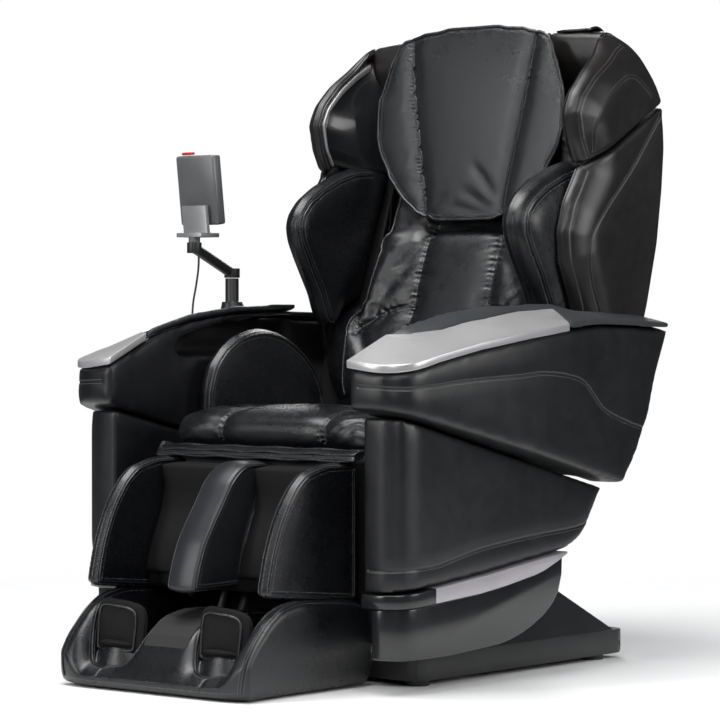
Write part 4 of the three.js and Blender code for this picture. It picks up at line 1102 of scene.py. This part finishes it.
def make_pods():
    pod = soft_copy("pod_shell_left_cover", ["pod_shell_left"], 0.0062, 7, 0.003, 0.02)
    side = [at(x, y, z) for x, y, z in
            ((300, -385, 548), (345, -386, 547), (385, -378, 546), (415, -350, 546), (436, -290, 550),
             (440, -190, 557),
             (440, -80, 562), (440, -16, 566), (440, 60, 560), (440, 110, 546), (438, 166, 500),
             (436, 240, 474),
             (432, 306, 458))]
    seam = pressed_line(pod, side)
    press(pod, seam)
    lip = pressed_line(pod, [at(x, y, z) for x, y, z in
                             ((285, -340, 612), (300, -378, 598), (345, -388, 592), (390, -378, 590),
                              (425, -345, 592),
                              (438, -290, 598), (440, -190, 612), (440, -60, 626), (440, 80, 636),
                              (440, 200, 634),
                              (440, 300, 622))])
    pod_pair = both_sides(pod, "arm_left", "arm_right", SIDE_LEATHER, "side_leather", "pod_shell",
                          rows=[(seam, False, (-SEAM_HALF, SEAM_HALF))])
    pad = soft_copy("pod_pad_left_cover", ["pod_pad_left"], 0.005, 6, 0.002, 0.02)
    both_sides(pad, "arm_left", "arm_right", ARM_PAD, "pad_leather", "pod_pad")
    return pod_pair, lip


def make_panels():
    panel = soft_copy("side_panel_left_cover", ["side_panel_left"], 0.0058, 6, 0.0025, 0.02)
    points = [(300, -352, 237), (340, -350, 237), (372, -330, 238), (385, -295, 239), (386, -242, 242),
              (386, -130, 262),
              (386, 16, 276), (386, 120, 282), (386, 199, 287), (384, 300, 292)]
    seam = pressed_line(panel, [at(*p) for p in points])
    press(panel, seam)
    both_sides(panel, "base", "base", SIDE_LEATHER, "side_leather", "side_panel",
               rows=[(seam, False, (SEAM_HALF,))])


# ---------------------------------------------------------------- backrest

WING_FRONT = [(257, 944), (235, 985), (223, 1039), (241, 1076), (284, 1118), (328, 1150), (358, 1180),
              (378, 1192)]
WING_REST = [(394, 1192), (412, 1172), (430, 1138), (460, 1098), (480, 1066), (370, 1005.7)]
SHELL_FRONT = [(276, 562), (252, 640), (228, 704), (200, 765), (194, 821), (215, 875), (240, 912), (256, 937)]
SHELL_REST = [(370, 999.5), (480, 1060), (485, 980), (478, 902), (462, 800), (429, 684), (404, 620),
              (350, 562)]
OUTER_X = 345  # the shells' outer face
CURL = 33
CURL_REACH = 75


def shell_faces(front, thick, roll, step_at, recess):
    """Faces of a shell whose front edge curls inwards and carries a padded roll."""
    front = eased(front, rounds=5, closed=False)

    def outer(p, d):
        from_front = to_line(p, front, closed=False)
        lean = 34 * np.clip((p[:, 1] - 1085) / 110, 0, 1.1) ** 2
        return OUTER_X - lean - CURL * np.clip(1 - from_front / CURL_REACH, 0, 1) ** 2

    def inner(p, d):
        from_front = to_line(p, front, closed=False)
        lean = 34 * np.clip((p[:, 1] - 1085) / 110, 0, 1.1) ** 2
        t = np.clip((from_front - step_at) / 6, 0, 1)
        t = t * t * (3 - 2 * t)
        deep = OUTER_X - lean - thick - recess * np.exp(-(from_front / 60) ** 2)
        return (OUTER_X - CURL - lean * 0.6 - roll) * (1 - t) + deep * t

    return outer, inner


def make_wings():
    shape = eased(WING_FRONT + WING_REST, rounds=5)
    outer, inner = shell_faces(WING_FRONT, 27, 22, 13, 8)
    wing = crowned("wing_shell_left_cover", shape, side_place, outer, inner, 8, 6)
    first = pressed_line(wing, [side_place(p[0], p[1], 330) for p in offset_in(WING_FRONT, 9)])
    second = pressed_line(wing, [side_place(p[0], p[1], 280) for p in offset_in(WING_FRONT, 5)])
    crest = pressed_line(wing, [at(352, y, z) for y, z in
                                ((262, 962), (262, 1010), (290, 1056), (330, 1092), (372, 1112), (410, 1098),
                                 (440, 1076))])
    press(wing, crest, 0.0014, 0.002, 0.001, 0.01)
    press(wing, first, 0.001, 0.002, 0.0005, 0.008)
    both_sides(wing, "back", "back", BACK_LEATHER, "side_leather", "wing_shell",
               rows=[(crest, False, (-SEAM_HALF, SEAM_HALF)), (first, False, (-SEAM_HALF, SEAM_HALF))],
               pipes=[(second, False, 0.0024, 0.0004, None)])

    shape = eased(SHELL_FRONT + SHELL_REST, rounds=5)
    outer, inner = shell_faces(SHELL_FRONT, 43, 12, 40, 0)
    shell = crowned("side_shell_left_cover", shape, side_place, outer, inner, 7, 6)
    first = pressed_line(shell, [side_place(p[0], p[1], 330) for p in offset_in(SHELL_FRONT, 11)])
    second = pressed_line(shell, [side_place(p[0], p[1], 296) for p in offset_in(SHELL_FRONT, 3)])
    fold = pressed_line(shell, [at(352, y, z) for y, z in
                                ((470, 1038), (380, 940), (290, 856), (250, 806), (246, 750), (268, 690),
                                 (290, 640))])
    press(shell, fold, 0.0016, 0.0022, 0.0016, 0.014)
    press(shell, first, 0.001, 0.002, 0.0005, 0.008)
    both_sides(shell, "back", "back", BACK_LEATHER, "side_leather", "side_shell",
               rows=[(fold, False, (-SEAM_HALF, SEAM_HALF)), (first, False, (-SEAM_HALF,))],
               pipes=[(second, False, 0.0026, 0.0004, None)])


def offset_in(front, gap):
    """A front edge moved back by a gap."""
    line = eased(front, rounds=5, closed=False)
    run = np.gradient(line, axis=0)
    normal = np.stack([run[:, 1], -run[:, 0]], 1)
    normal /= np.linalg.norm(normal, axis=1, keepdims=True)
    if normal[:, 0].mean() < 0:
        normal = -normal
    return line + normal * gap


def thin_panel(name, rows, thickness):
    """A thin closed panel through a grid of points, each row a list."""
    bm = bmesh.new()
    grid = [[bm.verts.new(point) for point in line] for line in rows]
    for a, b in zip(grid, grid[1:]):
        for i in range(len(a) - 1):
            bm.faces.new([a[i], a[i + 1], b[i + 1], b[i]])
    bmesh.ops.recalc_face_normals(bm, faces=bm.faces)
    panel = object_from(bm, name)
    wall = panel.modifiers.new("wall", "SOLIDIFY")
    wall.thickness = thickness
    wall.offset = 0
    bake(panel)
    smooth_shaded(panel)
    return panel


def make_wing_linings():
    """The dark glossy panel that slopes from each wing in to the back pad."""
    at_wing = [(284, 955), (262, 985), (252, 1036), (268, 1070), (306, 1106), (350, 1146), (384, 1172)]
    at_pad = [(388, 945), (398, 985), (416, 1036), (428, 1070), (438, 1104), (436, 1140), (426, 1166)]
    steps = 14
    rows = []
    a = eased(at_wing, 9, 3, False)
    for i, p in enumerate(a):
        t = i / (len(a) - 1) * (len(at_pad) - 1)
        k = min(int(t), len(at_pad) - 2)
        q = np.array(at_pad[k]) * (1 - t + k) + np.array(at_pad[k + 1]) * (t - k)
        line = []
        for j in range(steps + 1):
            f = j / steps
            y = p[0] + (q[0] - p[0]) * f ** 0.85
            z = p[1] + (q[1] - p[1]) * f
            lean = 34 * max(0.0, (z - 1085) / 110) ** 2
            line.append(at(314 - lean - (80 - lean) * f, y, z))
        rows.append(line)
    lining = thin_panel("wing_lining_left", rows, 0.004)
    other = mirrored(lining, "wing_lining_right")
    for piece in (lining, other):
        finish_piece(piece, "back", GLOSSY)


BOLSTER = [(385, 945), (330, 952), (280, 949), (230, 935), (180, 914), (138, 888), (114, 862), (106, 836),
           (112, 806),
           (128, 776), (152, 736), (172, 704), (184, 672), (198, 648), (222, 646), (250, 682), (300, 700),
           (337, 800),
           (373, 900)]


def make_wing_strips():
    """The bright metal strip just behind each wing's front roll, narrowing downwards."""
    front = [(257, 950), (235, 985), (223, 1039), (241, 1076), (284, 1118), (328, 1150), (364, 1172)]
    near, far = offset_in(front, 12), offset_in(front, 25)
    tips = np.linspace(0.3, 1.0, len(near))[:, None]
    shape = np.concatenate([near, (near + (far - near) * tips)[::-1]])

    def outer(p, d):
        return 306 - 34 * np.clip((p[:, 1] - 1085) / 110, 0, 1.1) ** 2

    def inner(p, d):
        return 286 - 22 * np.clip((p[:, 1] - 1085) / 110, 0, 1.1) ** 2

    strip = crowned("wing_strip_left_band", shape, side_place, outer, inner, 1.5, 5, bulge=0.4)
    smooth_shaded(strip)
    other = mirrored(strip, "wing_strip_right_band")
    for piece, node in ((strip, "wing_strip_left"), (other, "wing_strip_right")):
        finish_piece(piece, "back", SILVER, [node])


def make_back_hood():
    """The leather roll over the top of the back, behind the pillow, with the pillow's strap across it."""
    line = [(374, 1196), (394, 1209), (420, 1202), (444, 1174), (456, 1130), (444, 1100), (420, 1092),
            (392, 1110), (376, 1150)]
    shape = eased(line, 5, 6)

    def squeeze(u, v, h):
        inward = 1 - 0.10 * (h / 285) ** 4
        return at(h, 415 + (u - 415) * inward, 1100 + (v - 1100) * inward)

    hood = crowned("back_hood", shape, squeeze, level(284), level(-284), 14, 9, bulge=0, levels=48)
    for x in (-150, 150):
        around = pressed_line(hood, [at(x, y, z) for y,
                                     z in ((360, 1196), (392, 1226), (440, 1216), (486, 1180), (500, 1130))])
        press(hood, around, 0.002, 0.003, 0.002, 0.014)
        gather(hood, around, 0.003, 0.03, 0.05, 73)
    smooth_shaded(hood)
    finish_piece(hood, "back", BACK_LEATHER, [])
    path = [(382, 1202), (396, 1210), (421, 1204), (446, 1175), (458, 1131)]
    rows = [[at(x, y + 1.2 * math.sin(x / 11.0), z) for x in range(168, 249, 8)] for y,
            z in eased(path, 6, 4, False)]
    strap = thin_panel("hood_strap", rows, 0.004)
    finish_piece(strap, "back", SEAT_LEATHER)


def make_bolsters():
    shape = eased(BOLSTER, rounds=9)
    front = eased(BOLSTER[2:14], rounds=5, closed=False)

    def outer(p, d):
        return 298 - 26 * np.clip(1 - to_line(p, front, closed=False) / 55, 0, 1) ** 2

    def inner(p, d):
        return 237 - 3 * (1 - np.exp(-(d / 30) ** 2)) + 4 * np.exp(-(d / 14) ** 2)

    bolster = crowned("shoulder_bolster_left_cover", shape, side_place, outer, inner, 9, 7, bulge=3)
    first = pressed_line(bolster, [side_place(p[0], p[1], 225) for p in offset_in(BOLSTER[1:15], 6)])
    second = pressed_line(bolster, [side_place(p[0], p[1], 310) for p in offset_in(BOLSTER[1:15], 5)])
    inflate(bolster, 0.005, pinned=[first, second])
    first = pressed_line(bolster, first)
    second = pressed_line(bolster, second)
    for line in (first, second):
        press(bolster, line, 0.0012, 0.0022, 0.001, 0.01)
    both_sides(bolster, "back", "back", SEAT_LEATHER, "seat_leather", "shoulder_bolster",
               rows=[(first, False, (-0.006, 0.006)), (second, False, (-0.006, 0.006))],
               pipes=[(first, False, 0.0022, 0.0008, None), (second, False, 0.0022, 0.0008, None)])


def make_back_linings():
    """Dark cloth behind the bolsters that closes the back between its pad and its shells."""
    for side, name in ((1, "left"), (-1, "right")):
        rows = [[leaned(side * x, s, 30 + 6 * math.sin(math.pi * (x - 219) / 77)) for x in range(219, 297,
                                                                                                 11)]
                for s in range(-10, 671, 20)]
        lining = thin_panel("back_lining_" + name, rows, 0.003)
        finish_piece(lining, "back", LINING)


def make_back_pad():
    pad = soft_copy("back_pad_cover", ["back_pad"], 0.0072, 5, 0.003, 0.035, shrink=0.002)
    channels = []
    for side in (-1, 1):
        channels.append(pressed_line(pad, [leaned(side * 87, s, -30) for s in (-30, 60, 160, 300, 450, 600)]))
        channels.append(pressed_line(pad, [leaned(side * x, s, -30) for x, s in
                                           ((87, 222), (130, 214), (170, 196), (205, 176))]))
    inflate(pad, 0.012, pinned=channels)
    relax(pad.data, 3)
    channels = [pressed_line(pad, c) for c in channels]
    for c in channels:
        press(pad, c, 0.004, 0.0035, 0.005, 0.02)
    for index, (side, channel) in enumerate(((-1, channels[0]), (1, channels[2]))):
        gather(pad, channel, 0.004, 0.024, 0.045, 11 + index)
    for index, side in enumerate((-1, 1)):
        edge = pressed_line(pad, [leaned(side * x, s, -40) for x,
                                  s in ((215, 20), (222, 120), (222, 260), (218, 420), (205, 560))])
        gather(pad, edge, 0.007, 0.03, 0.06, 31 + index)
        pipe(pad, "back", edge, False)
    for side, low, high in ((-1, 250, 300), (1, 238, 330), (-1, 330, 400)):
        dent(pad, leaned(side * 96, high, -30), leaned(side * 190, low, -30), 0.004, 0.012)
    relax(pad.data, 1)
    smooth_shaded(pad)
    row(pad, "back", channels[0], False, (-0.006,))
    row(pad, "back", channels[2], False, (0.006,))
    finish_piece(pad, "back", SEAT_LEATHER, ["back_pad"])


def make_pillow():
    pillow = soft_copy("head_pillow_cover", ["head_pillow"], 0.0068, 5, 0.003, 0.04, shrink=0.001)
    rim = outline("head_pillow", (0, -1, 0), 0.6)
    edge = pressed_line(pillow, rim, closed=True)
    low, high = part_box("head_pillow")
    centre = low.x + (high.x - low.x) / 2
    seams = []
    for side in (-1, 1):
        seams.append(pressed_line(pillow, [Vector((centre + side * x * MM, low.y - 0.05,
                                                   low.z + t * (high.z - low.z)))
                                           for x, t in ((150, 0.985), (146, 0.86), (134, 0.66), (118, 0.44),
                                                        (103, 0.22), (92, 0.03))]))
    inflate(pillow, 0.016, 4.5, pinned=seams + [edge])
    relax(pillow.data, 3)
    seams = [pressed_line(pillow, s) for s in seams]
    edge = pressed_line(pillow, edge, closed=True)
    for s in seams:
        press(pillow, s, 0.003, 0.003, 0.004, 0.016)
    gather(pillow, seams[0], 0.0042, 0.021, 0.036, 5, side=(-1, 0, 0))
    gather(pillow, seams[1], 0.0018, 0.03, 0.03, 6, side=(1, 0, 0))
    gather(pillow, seams[0], 0.0014, 0.03, 0.02, 8, side=(1, 0, 0))
    foot = low.z
    for x0, z0, x1, z1, depth in ((84, 40, 18, 118, 0.004), (76, 22, -8, 66, 0.0032),
                                  (60, 14, -30, 34, 0.0022),
                                  (-82, 30, -40, 62, 0.002)):
        dent(pillow, Vector((x0 * MM, low.y - 0.02, foot + z0 * MM)),
             Vector((x1 * MM, low.y - 0.02, foot + z1 * MM)),
             depth, 0.009)
    relax(pillow.data, 1)
    smooth_shaded(pillow)
    for s in seams:
        pipe(pillow, "pillow", s, False, 0.0014, 0.0002)
    pipe(pillow, "pillow", edge, True, 0.0032, 0.0008)
    row(pillow, "pillow", edge, True, (-0.009,))
    finish_piece(pillow, "pillow", PILLOW_LEATHER, ["head_pillow"])


# ---------------------------------------------------------------- seat

def make_seat():
    seat = soft_copy("seat_cushion_cover", ["seat_cushion"], 0.007, 10, 0.006, 0.045, shrink=0.002)
    low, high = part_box("seat_cushion")
    seams = []
    for side in (-1, 1):
        x = side * 0.12
        path = [(x, low.y - 0.02, low.z + 0.01), (x, low.y - 0.02, high.z - 0.03),
                (x, low.y + 0.02, high.z + 0.02),
                (x, low.y + 0.16, high.z + 0.02), (x, high.y - 0.04, high.z + 0.02)]
        seams.append(pressed_line(seat, [Vector(p) for p in path]))
    inflate(seat, 0.014, pinned=seams)
    relax(seat.data, 3)
    seams = [pressed_line(seat, s) for s in seams]
    for s in seams:
        press(seat, s, 0.004, 0.003, 0.006, 0.022)
    gather(seat, seams[0], 0.0035, 0.04, 0.05, 41)
    gather(seat, seams[1], 0.0035, 0.04, 0.05, 42)
    for index, side in enumerate((-1, 1)):
        x = side * 0.2
        path = [(x, low.y - 0.02, low.z + 0.02), (x, low.y + 0.02, high.z + 0.02),
                (x, high.y - 0.04, high.z + 0.02)]
        gather(seat, pressed_line(seat, [Vector(p) for p in path]), 0.009, 0.05, 0.055, 51 + index)
    relax(seat.data, 1)
    smooth_shaded(seat)
    for s in seams:
        row(seat, "base", s, False, (-0.005, 0.005))
    finish_piece(seat, "base", SEAT_LEATHER, ["seat_cushion"])

    shape = eased(flat_loop("thigh_pad_left", (-1, 0, 0)), rounds=8)
    thigh = crowned("thigh_pad_left_cover", shape, side_place, level(267), hollow(240, 3, 30), 8, 7, bulge=3)
    inner = pressed_line(thigh, rim_line(shrunk(shape, 5), side_place, 228), closed=True)
    both_sides(thigh, "base", "base", SEAT_LEATHER, "seat_leather", "thigh_pad",
               rows=[(inner, True, (-0.006, 0.006))], pipes=[(inner, True, 0.0024, 0.0008, None)])


# ---------------------------------------------------------------- leg rest and foot unit

VALANCE_Y = -238
VALANCE_TOP = 420
VALANCE_BOTTOM = 100
VALANCE_HALF = 284
CLOTH_THICK = 0.002


def make_valance():
    """Dark cloth that hangs under the seat, behind the leg rest, from side to side."""
    drop = VALANCE_TOP - VALANCE_BOTTOM
    rows = []
    for z in range(VALANCE_BOTTOM, VALANCE_TOP + 1, 20):
        ripple = 3.0 * (VALANCE_TOP - z) / drop
        across = range(-VALANCE_HALF, VALANCE_HALF + 1, 8)
        rows.append([at(x, VALANCE_Y + ripple * math.sin(x / 19.0), z) for x in across])
    cloth = thin_panel("seat_valance", rows, CLOTH_THICK)
    finish_piece(cloth, "base", LINING)


def upright_pad(name, node, low, high, radius, swell, body, stem=None):
    """A padded wall of the leg rest: two swelling faces and a flat band, with the two lines along its edges
    where piping goes.
    """
    line = [(y, z - 15 * max(0.0, (262 - z) / 60) if z < 262 else z) for y, z in flat_loop(node, (1, 0, 0))]
    shape = eased(line, rounds=6)
    pad = crowned(name, shape, side_place, dome(high - swell, swell, 26), hollow(low + swell, swell, 26),
                  radius, 6, bulge=3)
    loops = []
    for height in (high + 12, low - 12):
        loops.append(pressed_line(pad, rim_line(shrunk(shape, radius * 0.55), side_place, height),
                                  closed=True))
    return pad, loops


def shrunk(line, gap):
    """A closed outline moved inwards."""
    run = np.roll(line, -1, 0) - np.roll(line, 1, 0)
    normal = np.stack([-run[:, 1], run[:, 0]], 1)
    normal /= np.linalg.norm(normal, axis=1, keepdims=True).clip(1e-9)
    if not inside(line[:1] + normal[:1], line)[0]:
        normal = -normal
    return line + normal * gap


def make_curtain():
    """Dark cloth under the calf pads that hides the slide rods."""
    rows = [[at(x, -374 + 1.5 * math.sin(x / 9.0), z) for x in range(-178, 179, 4)] for z in (188, 196, 204,
                                                                                              212, 220)]
    cloth = thin_panel("ankle_curtain", rows, CLOTH_THICK)
    finish_piece(cloth, "leg_rest", LINING)


def make_leg_rest():
    wall, loops = upright_pad("calf_wall_left_cover", "calf_wall_left", 183, 213, 6, 3, "leg_rest")
    both_sides(wall, "leg_rest", "leg_rest", SEAT_LEATHER, "seat_leather", "calf_wall",
               rows=[(loops[0], True, (-0.0055, 0.0055)), (loops[1], True, (-0.0055, 0.0055))],
               pipes=[(l, True, 0.0021, 0.0006, None) for l in loops])
    divider, loops = upright_pad("calf_divider_cover", "calf_divider", -35, 35, 8, 3, "leg_rest")
    smooth_shaded(divider)
    for line in loops:
        pipe(divider, "leg_rest", line, True, 0.0021, 0.0006)
        row(divider, "leg_rest", line, True, (-0.0055, 0.0055))
    finish_piece(divider, "leg_rest", BAND_LEATHER, ["calf_divider"])
    pad = soft_copy("calf_pad_left_cover", ["calf_pad_left"], 0.006, 5, 0.004, 0.02)
    both_sides(pad, "leg_rest", "leg_rest", LINING, "lining_fabric", "calf_pad")
    flap = soft_copy("seat_flap_cover", ["seat_flap"], 0.004, 4, 0.001, 0.01)
    smooth_shaded(flap)
    low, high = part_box("seat_flap")
    corners = [(low.x, low.y), (high.x, low.y), (high.x, high.y), (low.x, high.y)]
    edges = []
    for height, inset in ((high.z, 0.004), (low.z, 0.004)):
        loop = [Vector((x * (1 - inset), y + (inset if y == low.y else -inset), height)) for x, y in corners]
        dense = [loop[i].lerp(loop[(i + 1) % 4], k / 20) for i in range(4) for k in range(20)]
        tree = tree_of(flap)
        path = [p for p, _ in on_surface(tree, dense, 0.0008)]
        for i, p in enumerate(path):
            path[i] = p + Vector((0, 0, 0.0012 * math.sin(p.x * 60)))
        edges.append(path)
    flap.data.materials.append(SEAT_LEATHER)
    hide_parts("seat_flap")
    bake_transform(flap)
    for index, path in enumerate(edges):
        edge = lines_object(f"seat_flap_piping_{index}", [(path, True)])
        modifier = edge.modifiers.new("grow", "NODES")
        modifier.node_group = PIPING_TREE
        set_inputs(modifier, PIPING_TREE, {"Pitch": 0.005, "Radius": 0.0026, "Finish": PIPING})
        bake(edge)
        smooth_shaded(edge)
        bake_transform(edge)


FOOT_SIDE = [(-571, 46), (-567, 72), (-545, 110), (-503, 152), (-468, 175), (-420, 184), (-340, 180),
             (-262, 172), (-240, 150)]
FOOT_MIDDLE = [(-571, 46), (-556, 62), (-534, 92), (-512, 120), (-470, 148), (-420, 157), (-290, 152),
               (-240, 140)]
FOOT_LIP = [(-571, 46), (-556, 60), (-530, 70), (-480, 86), (-240, 90)]
WELL = {"x": 121, "half": 68, "front": -545, "round": 84}
FOOT_REAR = -236
FOOT_HALF = 220


def profile(line, y):
    line = np.array(eased(line, 5, 8, False))
    return np.interp(y, line[:, 0], line[:, 1])


def well_gap(x, y):
    """How far outside a foot well's edge a place is; inside it is negative."""
    u = np.abs(x) - WELL["x"]
    v = np.clip(WELL["front"] + WELL["round"] - y, 0, None)
    return (np.sqrt((u / WELL["half"]) ** 2 + (v / WELL["round"]) ** 2) - 1) * WELL["half"]


def sole_height(y):
    """The well's floor, just under the sole plate."""
    return 44 + (-y - 270) * 0.212


def smooth_step(value, low, high):
    t = np.clip((value - low) / (high - low), 0, 1)
    return t * t * (3 - 2 * t)


def foot_top(x, y):
    side = profile(FOOT_SIDE, y)
    middle = profile(FOOT_MIDDLE, y)
    lip = profile(FOOT_LIP, y)
    a = np.abs(x)
    over = middle + (side - middle) * smooth_step(a, 60, 190)
    near = 1 - smooth_step(np.abs(a - WELL["x"]), 34, 74)
    over = over + (lip - over) * near
    gap = well_gap(x, y)
    roll = 9.0
    over = over - roll * (1 - np.sqrt(1 - (1 - np.clip(gap / roll, 0, 1)) ** 2)) * (gap > -0.01)
    drop = smooth_step(-gap, 0, 15)
    floor = sole_height(y)
    top = np.where(gap > 0, over, (over - roll) + (floor - (over - roll)) * drop)
    side_roll = 15.0
    from_side = FOOT_HALF - a
    return top - side_roll * (1 - np.sqrt(1 - (1 - np.clip(from_side / side_roll, 0, 1)) ** 2))


def make_foot_block():
    """The foot unit's leather body: one crowned form with two wells pressed into it."""
    xs = np.concatenate([-FOOT_HALF + np.array([0, 0.6, 1.8, 4, 7, 11, 15]), np.linspace(-201, 201, 150),
                         FOOT_HALF - np.array([15, 11, 7, 4, 1.8, 0.6, 0])])
    rows = 120
    bm = bmesh.new()
    grid = []
    for j in range(rows + 1):
        t = j / rows
        line = []
        for x in xs:
            front = -571 + 16 * abs(x / FOOT_HALF) ** 9
            y = front + (FOOT_REAR - front) * t ** 1.15
            z = foot_top(np.array([x]), np.array([y]))[0]
            line.append(bm.verts.new(at(x, y, z)))
        grid.append(line)
    for j in range(rows):
        for i in range(len(xs) - 1):
            bm.faces.new([grid[j][i], grid[j][i + 1], grid[j + 1][i + 1], grid[j + 1][i]])
    border = ([grid[0][i] for i in range(len(xs))] + [grid[j][-1] for j in range(1, rows + 1)]
              + [grid[rows][i] for i in range(len(xs) - 2, -1, -1)] + [grid[j][0] for j in range(rows - 1, 0,
                                                                                                 -1)])
    last = border
    for share, inset in ((0.2, 0.4), (0.45, 0.0), (0.7, 0.6), (0.88, 2.5), (0.97, 6), (1.0, 12)):
        ring = []
        for v in border:
            low = at(0, 0, 28).z
            z = v.co.z + (low - v.co.z) * share
            middle = Vector((0, at(0, -400, 0).y, 0))
            away = Vector((v.co.x, v.co.y, 0)) - middle
            ring.append(bm.verts.new(Vector((v.co.x, v.co.y,
                                             z)) - Vector((math.copysign(min(abs(away.x), inset * MM),
                                                                         away.x),
                                                                           math.copysign(min(abs(away.y),
                                                                                             inset * MM),
                                                                                             away.y), 0))))
        for i in range(len(border)):
            k = (i + 1) % len(border)
            bm.faces.new([last[i], last[k], ring[k], ring[i]])
        last = ring
    bm.faces.new(last)
    bmesh.ops.recalc_face_normals(bm, faces=bm.faces)
    block = object_from(bm, "foot_block_cover")
    relax(block.data, 2)
    return block


def make_foot_unit():
    block = make_foot_block()
    for side in (-1, 1):
        seam = pressed_line(block, [at(side * 121, -590, z) for z in (34, 44, 54)] + [at(side * 121, -562,
                                                                                         80)])
        press(block, seam, 0.001, 0.0018, 0.0008, 0.006)
    smooth_shaded(block)
    for side in (-1, 1):
        path = []
        for k in range(61):
            angle = math.pi * k / 60
            u = -math.cos(angle) * (WELL["half"] + 5)
            y = WELL["front"] + WELL["round"] - math.sin(angle) * (WELL["round"] + 5)
            path.append((side * (WELL["x"] + u), y))
        path = [(path[0][0], y) for y in (-300, -340, -380, -420)] + path + [(path[-1][0], y) for y in (-420,
                                                                                                        -380,
                                                                                                        -340,
                                                                                                        -300)]
        line = pressed_line(block, [at(x, y, foot_top(np.array([x]), np.array([y]))[0] + 2) for x, y in path])
        pipe(block, "foot_unit", line, False, 0.0021, 0.0008)
        row(block, "foot_unit", line, False, (-0.0055, 0.0055))
        edge = [(side * 211, y) for y in (-262, -300, -360, -420, -468, -503, -530, -548, -558)]
        line = pressed_line(block, [at(x, y, foot_top(np.array([x]), np.array([y]))[0] + 3) for x, y in edge]
                            + [at(side * 211, -575, 46), at(side * 211, -575, 36)])
        pipe(block, "foot_unit", line, False, 0.0021, 0.0008)
        row(block, "foot_unit", line, False, (-0.0055, 0.0055))
    hem = pressed_line(block, [at(x, -590, 36) for x in range(-200, 201, 20)])
    row(block, "foot_unit", hem, False, (0.0,))
    finish_piece(block, "foot_unit", SEAT_LEATHER,
                 ["foot_tray", "foot_wall_left", "foot_wall_right"])
    turn = [(WELL["x"] - math.cos(math.pi * k / 24) * 59,
             WELL["front"] + 82 - math.sin(math.pi * k / 24) * 76) for k in range(25)]
    plan = eased([(WELL["x"] - 59, -292)] + turn + [(WELL["x"] + 59, -292)], rounds=6)
    sole = crowned("sole_plate_left_cover", plan, lambda u, v, h: at(u, v, h),
                   lambda p, d: sole_height(p[:, 1]) + 6 + 5 * (1 - np.exp(-(d / 18) ** 2)),
                   lambda p, d: sole_height(p[:, 1]) - 4, 6, 6, bulge=1)
    both_sides(sole, "foot_unit", "foot_unit", LINING, "lining_fabric", "sole_plate")
    make_ankle_flaps()


def make_ankle_flaps():
    """The padded flaps that stand in the wells, with rounded, piped top corners."""
    for side, name in ((1, "left"), (-1, "right")):
        shape = eased([(-56, 84), (-58, 150), (-54, 168), (-30, 176), (30, 172), (54, 163), (58, 140),
                       (54, 84)], rounds=6)

        def place(u, v, h):
            bend = 14 * (u / 58) ** 2
            return at(side * WELL["x"] + u, -524 + (v - 62) * 0.1 + bend + h, v)

        panel = crowned("ankle_flap_" + name, shape, place, dome(4, 3, 20), hollow(-4, 3, 20), 4, 6,
                        bulge=1.5)
        rim = pressed_line(panel, [place(p[0], p[1], -30) for p in shrunk(shape, 4)], closed=True)
        smooth_shaded(panel)
        pipe(panel, "foot_unit", rim, True, 0.0024, 0.001)
        finish_piece(panel, "foot_unit", LINING)


# ---------------------------------------------------------------- floor

def make_floor():
    mesh = bpy.data.meshes.new("floor")
    half = 30.0
    mesh.from_pydata([(-half, -half, 0), (half, -half, 0), (half, half, 0), (-half, half, 0)], [],
                     [(0, 1, 2, 3)])
    floor = bpy.data.objects.new("floor", mesh)
    scene.collection.objects.link(floor)
    mat = bpy.data.materials.new("floor_paper")
    mat.use_nodes = True
    n = Nodes(mat.node_tree)
    shader = mat.node_tree.nodes["Principled BSDF"]
    out = mat.node_tree.nodes["Material Output"]
    place = n.add("ShaderNodeTexCoord").outputs["Object"]
    mottle = n.noise(place, 3.0, 3.0)
    n.put(shader.inputs["Base Color"], n.blend(mottle, (0.9, 0.9, 0.9, 1), (0.92, 0.92, 0.92, 1)))
    shader.inputs["Roughness"].default_value = 0.8
    away = n.add("ShaderNodeVectorMath", operation="LENGTH")
    n.put(away.inputs[0], place)
    clear = n.add("ShaderNodeBsdfTransparent")
    mix = n.add("ShaderNodeMixShader")
    n.put(mix.inputs[0], n.span(away.outputs["Value"], 0.75, 2.4, 0.0, 1.0))
    n.put(mix.inputs[1], shader.outputs[0])
    n.put(mix.inputs[2], clear.outputs[0])
    n.put(out.inputs["Surface"], mix.outputs[0])
    mesh.materials.append(mat)


make_floor()
make_lead()
make_hard_pieces()
make_pods()
make_panels()
make_wings()
make_wing_linings()
make_wing_strips()
make_back_hood()
make_bolsters()
make_back_linings()
make_back_pad()
make_pillow()
make_seat()
make_valance()
make_curtain()
make_leg_rest()
make_foot_unit()
sew_all()
